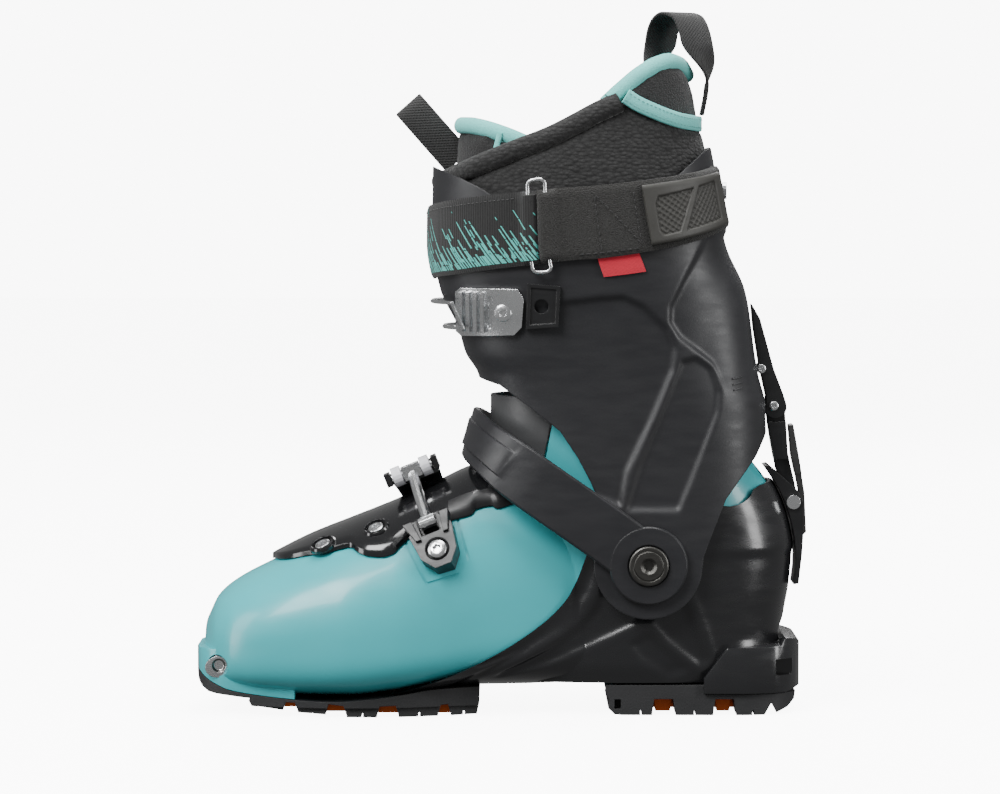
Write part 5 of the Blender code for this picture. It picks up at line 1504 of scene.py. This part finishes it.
def collar_band():
    """Aqua band right round the collar's foot, sewn along both edges."""
    low = [(59, 291), (64, 287.8), (72, 284.2), (80, 281.2), (86, 279.6)]
    low += [(91, 278.9), (94.2, 278.6), (95.7, 278.6)]
    near = [edge_point(x, z, -1, LINER_OUT + 0.5) for x, z in low]
    far = [edge_point(x, z, 1, LINER_OUT + 0.5) for x, z in reversed(low)]
    steps = 100
    path = smooth_path(near + far, steps)
    outs, wide = [], []
    for i, p in enumerate(path):
        along = (path[min(i + 1, steps)] - path[max(i - 1, 0)]).normalized()
        outs.append(Vector(((p.x - 40) / 58, p.y / 46, 0)).normalized())
        wide.append(outs[i].cross(along).normalized())
    strip = ribbon("collar_band", path, outs, wide, 3.6, 1.8, M["aqua_edge"])
    finished(strip, UPPER, "collar", angle=70)
    for k, shift in enumerate((-1.9, 1.9)):
        line = [p + w * shift + o * 0.9 for p, w, o in zip(path, wide, outs)]
        row = stitches(f"collar_stitches_{k}", line, outs, M["thread_aqua"], 2.3, 1.6, 0.16)
        finished(row, UPPER, "collar")


def tongue():
    """Padded tongue with its aqua rim and a small sewn tab."""
    out = LINER_OUT - 6.9
    side = [(-40, 175), (6, 175), (20, 255), (22, 262), (12, 269), (2, 273), (-8, 276.4)]
    side += [(-18, 277.5), (-40, 277)]
    form = padded_shell("tongue_pad", 170, 290, out, 5.0, side, M["lining"], 160, 2.0)
    puffed(form, 0.0045)
    finished(form, UPPER, "liner_lining", "liner_tongue", angle=70)
    top = [(20, 264.6), (12, 269.2), (2, 273.4), (-8, 276.6), (-14, 277.8), (-18, 278)]
    left = [edge_point(x, z, -1, out - 2.2) for x, z in top]
    right = [edge_point(x, z, 1, out - 2.2) for x, z in reversed(top)]
    rim = tube("tongue_rim", smooth_path(left + right, 90), 3.3, [M["aqua_edge"]], 16, flat=1.2)
    finished(rim, UPPER, "collar", angle=70)
    base = edge_point(0.5, 273.8, -1, out + 0.6)
    path = smooth_path([base + Vector(v) for v in ((0, -0.8, 0), (-0.8, -1.2, -3), (-2.2, -1.6, -9))], 8)
    outs, wides = [Vector((0, -1, 0))] * len(path), [Vector((1, 0, 0))] * len(path)
    tab = ribbon("tongue_tab", path, outs, wides, 1.4, 1.2, M["aqua_edge"])
    finished(tab, UPPER, "collar", angle=70)


def rear_loop():
    """Webbing pull loop at the rear, twisted as it rises."""
    path = [(72.5, 302), (72.3, 312), (73.6, 321), (77.5, 328.4), (84, 331.2), (91, 329.6)]
    path += [(96.2, 323), (98.8, 314), (99.4, 304), (98.6, 294), (96.6, 283)]
    centre = smooth_path([Vector((x, 0, z)) for x, z in path], 90)
    points, outs, wides = [], [], []
    for i, p in enumerate(centre):
        along = (centre[min(i + 1, 90)] - centre[max(i - 1, 0)]).normalized()
        side = Vector((along.z, 0, -along.x))
        share = eased((p.z - 296) / 22)
        turn = Matrix.Rotation(-math.radians(LOOP_TURN) * share, 4, "Z")
        offset = Vector((85.6, 0, 0))
        points.append(turn @ (p - offset) + offset)
        outs.append((turn @ side).normalized())
        wides.append((turn @ Vector((0, 1, 0))).normalized())
    loop = ribbon("rear_loop", points, outs, wides, 10.0, 1.5, M["pull"])
    finished(loop, UPPER, "pull_webbing", "rear_pull_loop", angle=60)


def front_loop():
    """Webbing pull loop on the tongue, leaning forward."""
    lean = Vector((-0.66, 0, 0.75)).normalized()
    wide = Vector((lean.z, 0, -lean.x))
    foot = Vector((-19.5, 0, 261))
    rows = [(-4.4, 0), (-4.6, 8), (-4.8, 17), (-4.4, 26), (-3.2, 32.6), (0, 35.6)]
    rows += [(-y, rise) for y, rise in reversed(rows[:-1])]
    points = smooth_path([foot + lean * s + Vector((0, y, 0)) for y, s in rows], 80)
    outs, wides = [], []
    for i, p in enumerate(points):
        along = (points[min(i + 1, 80)] - points[max(i - 1, 0)]).normalized()
        wides.append(wide)
        outs.append(wide.cross(along).normalized())
    loop = ribbon("front_loop", points, outs, wides, 7.6, 1.5, M["pull"])
    finished(loop, UPPER, "pull_webbing", "front_pull_loop", angle=60)


def liner_boot():
    """Padded foot of the liner, inside the shell."""
    out = -SHELL_WALL - 0.6
    look = M["mesh"]
    form = core("liner_bootie", out, [look])
    profile = [(-150, 22.8), (-150, 104), (-14, 104), (-6, 101), (16, 101)]
    profile += arc(FRONT_R - 1.5, 36, 6, 8) + arc(REAR_R - 0.8, -8, -118, 24) + [(128, 22.8)]
    boolean(form, "INTERSECT", prism("side", profile, -WIDE, WIDE, [look]))
    hollow = core("hollow", out - 5.5, [look])
    boolean(hollow, "INTERSECT", box("room", (-118, -80, 27), (150, 80, 175), [look]))
    boolean(form, "DIFFERENCE", hollow)
    puffed(form, 0.005)
    finished(form, BASE, "liner", "liner_foot", angle=70)


# ------------------------------------------------------------------ buckles and mechanism


def forefoot_block():
    """Anchor block with raised walls, a slot for the rod and its screw."""
    place = anchor_frame()
    look = [M["block"]]
    outline = rounded([(-8, -13.4), (8, -13.4), (11.6, 12.4), (-11.6, 12.4)], 1)
    block = moved(prism("anchor", outline, -6, 7.6, look, "xy"), place)
    boolean(block, "DIFFERENCE", grid_object("under", foot_grid(0.35), look))
    for side in (-1, 1):
        wall = [(side * 8.0, 2), (side * 11.4, 12.2), (side * 7.0, 12.2), (side * 5.6, 2)]
        boolean(block, "UNION", moved(prism("wall", wall, 2, 9.4, look, "xy"), place))
    boolean(block, "DIFFERENCE", moved(box("slot", (-4.8, 4.0, 1.8), (4.8, 20, 14), look), place))
    cone = lathe("seat", (0, -4.5, 5.6), (0, -4.5, 8.2), [(0, 5.0), (0.4, 5.2), (1, 6.2)], look, 48)
    boolean(block, "DIFFERENCE", moved(cone, place))
    block.name = "anchor_block"
    bevelled(block, 0.7, 3, 38)
    finished(block, BASE, "block", "forefoot_anchor", angle=40)
    centre = place @ Vector((0, -4.5, 5.5))
    out = place.to_3x3() @ Vector((0, 0, 1))
    screw = head_screw("anchor_screw", centre, out, 4.7, 3.0, M["steel"])
    finished(screw, BASE, "hardware", "forefoot_anchor_screw")


def on_cuff(name, outline, inner, outer, look, low=176, high=208):
    """A plate that follows the cuff's near side, between two heights above its surface."""
    form = grid_object(name, even_tube(CUFF, outer, low, high, 260, 1.5), look)
    boolean(form, "INTERSECT", prism("side", outline, -80, -8, look))
    boolean(form, "DIFFERENCE", grid_object("under", even_tube(CUFF, inner, low - 4, high + 4, 260, 3), look))
    return form


def cuff_rack():
    """Steel rack of the cuff buckle with its teeth and screw."""
    look = [M["rack"]]
    outline = [(-20.6, 180.4), (-18, 178.6), (7, 179.6), (10.6, 183.4), (11.6, 196.6), (8.6, 201.2)]
    outline += [(-18, 201.6), (-20.6, 199.6)]
    plate = on_cuff("rack_plate", outline, 0.5, 2.3, look)
    for x in (-18.2, -14.8, -11.4, -8.0):
        tooth = [(x - 0.9, 180.6), (x + 0.9, 180.6), (x + 0.9, 199.6), (x - 0.9, 199.6)]
        boolean(plate, "UNION", on_cuff("tooth", tooth, 1.2, 3.9, look))
    dent = on_cuff("dent", [(-5.6, 182.6), (-3.6, 182.6), (-3.0, 197.6), (-5.0, 197.6)], 1.6, 5, look)
    boolean(plate, "DIFFERENCE", dent)
    bevelled(plate, 0.35, 2, 35)
    finished(plate, UPPER, "rack", "cuff_ladder", angle=40)
    here = edge_point(2.0, 190, -1, 2.2)
    out = (edge_point(2.0, 190, -1, 3.2) - here).normalized()
    out = Vector((-0.12, out.y, 0.05)).normalized()
    screw = head_screw("rack_screw", here, out, 4.1, 1.5, M["steel"])
    finished(screw, UPPER, "hardware", "cuff_ladder_screw")


def keeper():
    """Drilled keeper frame behind the rack."""
    look = [M["block"]]
    outline = [(12.6, 182.4), (27.6, 183.6), (28.6, 202.6), (13.2, 204.0)]
    frame_plate = on_cuff("keeper_frame", outline, 0.3, 2.6, look)
    field = [(14.4, 184.6), (26.2, 185.4), (26.9, 201.0), (14.8, 202.0)]
    boolean(frame_plate, "DIFFERENCE", on_cuff("field", field, 1.9, 6, look))
    hole = rod("hole", (19.8, -70, 193.2), (19.8, -40, 193.2), 3.3, look, 40)
    boolean(frame_plate, "DIFFERENCE", hole)
    bevelled(frame_plate, 0.4, 2, 35)
    finished(frame_plate, UPPER, "block", "cuff_keeper", angle=40)


def mount_screws():
    """Two screws through each side of the bar's mount."""
    low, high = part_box("bar_mount")
    for index, (x, z) in enumerate(((125.0, 162.3), (131.0, 144.6))):
        for side, face in ((-1, low[1] / MM), (1, high[1] / MM)):
            name = f"mount_screw_{index + 1}_{'medial' if side < 0 else 'lateral'}"
            screw = head_screw(name, (x, face - side * 0.4, z), (0, side, 0), 2.3, 1.5, M["steel"])
            finished(screw, UPPER, "hardware")


def lean_marks():
    """Three small ridges moulded beside the bar's mount."""
    marks = []
    for k in range(3):
        x, z = 109.6 + k * 0.3, 158.4 - k * 2.6
        outline = [(x, z), (x + 4.6, z + 0.9), (x + 4.6, z + 1.7), (x, z + 0.8)]
        marks.append(on_cuff("mark", outline, -0.4, 0.5, [M["cuff"]], 140, 170))
    finished(joined("lean_marks", marks), UPPER, "cuff", angle=40)


BARE_NODES = {
    "steel": ["heel_insert", "heel_insert_screw", "instep_lever", "instep_bail", "cuff_buckle_lever"]
    + ["cuff_bail", "strap_rivet", "lock_pin_medial", "lock_pin_lateral", "forefoot_rod"],
    "board": ["boot_board"],
    "foam": ["insole"],
    "rack": ["forefoot_catch", "instep_ladder"],
    "block": ["instep_buckle_base", "cuff_buckle_base"],
    "mechanism": ["bar_mount", "lock_bar", "lock_bracket"],
    "aluminium": ["walk_lever"],
    "painted": ["forefoot_lever"],
    "white": ["forefoot_roller_front", "forefoot_roller_rear"],
}


def bare_materials():
    """Materials for the CAD nodes that stay as they are."""
    for look, names in BARE_NODES.items():
        for name in names:
            node = NODES[name]
            for slot in node.material_slots:
                slot.material = M[look]
            if not node.material_slots:
                node.data.materials.append(M[look])


# ------------------------------------------------------------------ studio


ROOM_LIGHT, BACKDROP, FLOOR_GLOW = 0.24, 9.0, 8.4
# Name, place in metres, size, watts
LAMPS = [
    ("key", (-0.9, -1.2, 1.5), (0.9, 0.9), 46.0),
    ("top", (0.15, -0.1, 1.8), (1.3, 0.7), 34.0),
    ("left", (-1.6, -0.5, 0.5), (0.5, 1.4), 16.0),
    ("right", (1.5, -0.75, 0.6), (0.35, 1.5), 20.0),
    ("back", (0.4, 1.7, 1.2), (1.2, 0.8), 20.0),
]


def studio():
    """Pale floor, soft lights and a white room."""
    bpy.ops.mesh.primitive_plane_add(size=14, location=(0, 0, 0))
    floor = bpy.context.object
    floor.name = "floor"
    n = Nodes("floor_white")
    cloud = n.noise(1.5, 2)
    colour = n.mix(cloud.outputs["Fac"], (0.93, 0.93, 0.93), (0.96, 0.96, 0.96))
    n.tree.links.new(colour, n.shader.inputs["Base Color"])
    n.shader.inputs["Roughness"].default_value = 0.7
    n.shader.inputs["Emission Color"].default_value = (1, 1, 1, 1)
    n.shader.inputs["Emission Strength"].default_value = FLOOR_GLOW
    floor.data.materials.append(n.material)
    floor.visible_diffuse = floor.visible_glossy = False
    for name, place, size, power in LAMPS:
        data = bpy.data.lights.new(name, "AREA")
        data.energy = power
        data.shape = "RECTANGLE"
        data.size, data.size_y = size
        lamp = bpy.data.objects.new(name, data)
        bpy.context.scene.collection.objects.link(lamp)
        lamp.location = place
        way = Vector((0, 0, 0.14)) - Vector(place)
        lamp.rotation_euler = way.to_track_quat("-Z", "Y").to_euler()
    world = bpy.data.worlds.new("studio")
    world.use_nodes = True
    tree = world.node_tree
    back = tree.nodes["Background"]
    back.inputs["Color"].default_value = (1, 1, 1, 1)
    path = tree.nodes.new("ShaderNodeLightPath")
    level = tree.nodes.new("ShaderNodeMapRange")
    level.inputs["To Min"].default_value = ROOM_LIGHT
    level.inputs["To Max"].default_value = BACKDROP
    tree.links.new(path.outputs["Is Camera Ray"], level.inputs["Value"])
    tree.links.new(level.outputs["Result"], back.inputs["Strength"])
    bpy.context.scene.world = world


def camera():
    """Long lens, level with the boot's medial side and looking down on it a little."""
    data = bpy.data.cameras.new("camera")
    data.lens = 146
    data.sensor_width = 36
    view = bpy.data.objects.new("camera", data)
    bpy.context.scene.collection.objects.link(view)
    target = Vector((0.0005, -0.04, 0.1505))
    tilt = math.radians(3.0)
    view.location = target + Vector((0, -math.cos(tilt), math.sin(tilt))) * 1.9
    view.rotation_euler = (target - view.location).to_track_quat("-Z", "Y").to_euler()
    bpy.context.scene.camera = view


camera()
studio()
shell()
chassis()
front_sole()
heel_sole()
orange_blocks()
toe_steel()
cover()
instep_strap()
pivots()
flap()
cuff()
straps()
steel_loop()
liner()
collar()
tongue()
rear_loop()
front_loop()
liner_boot()
forefoot_block()
cuff_rack()
keeper()
mount_screws()
lean_marks()
bare_materials()
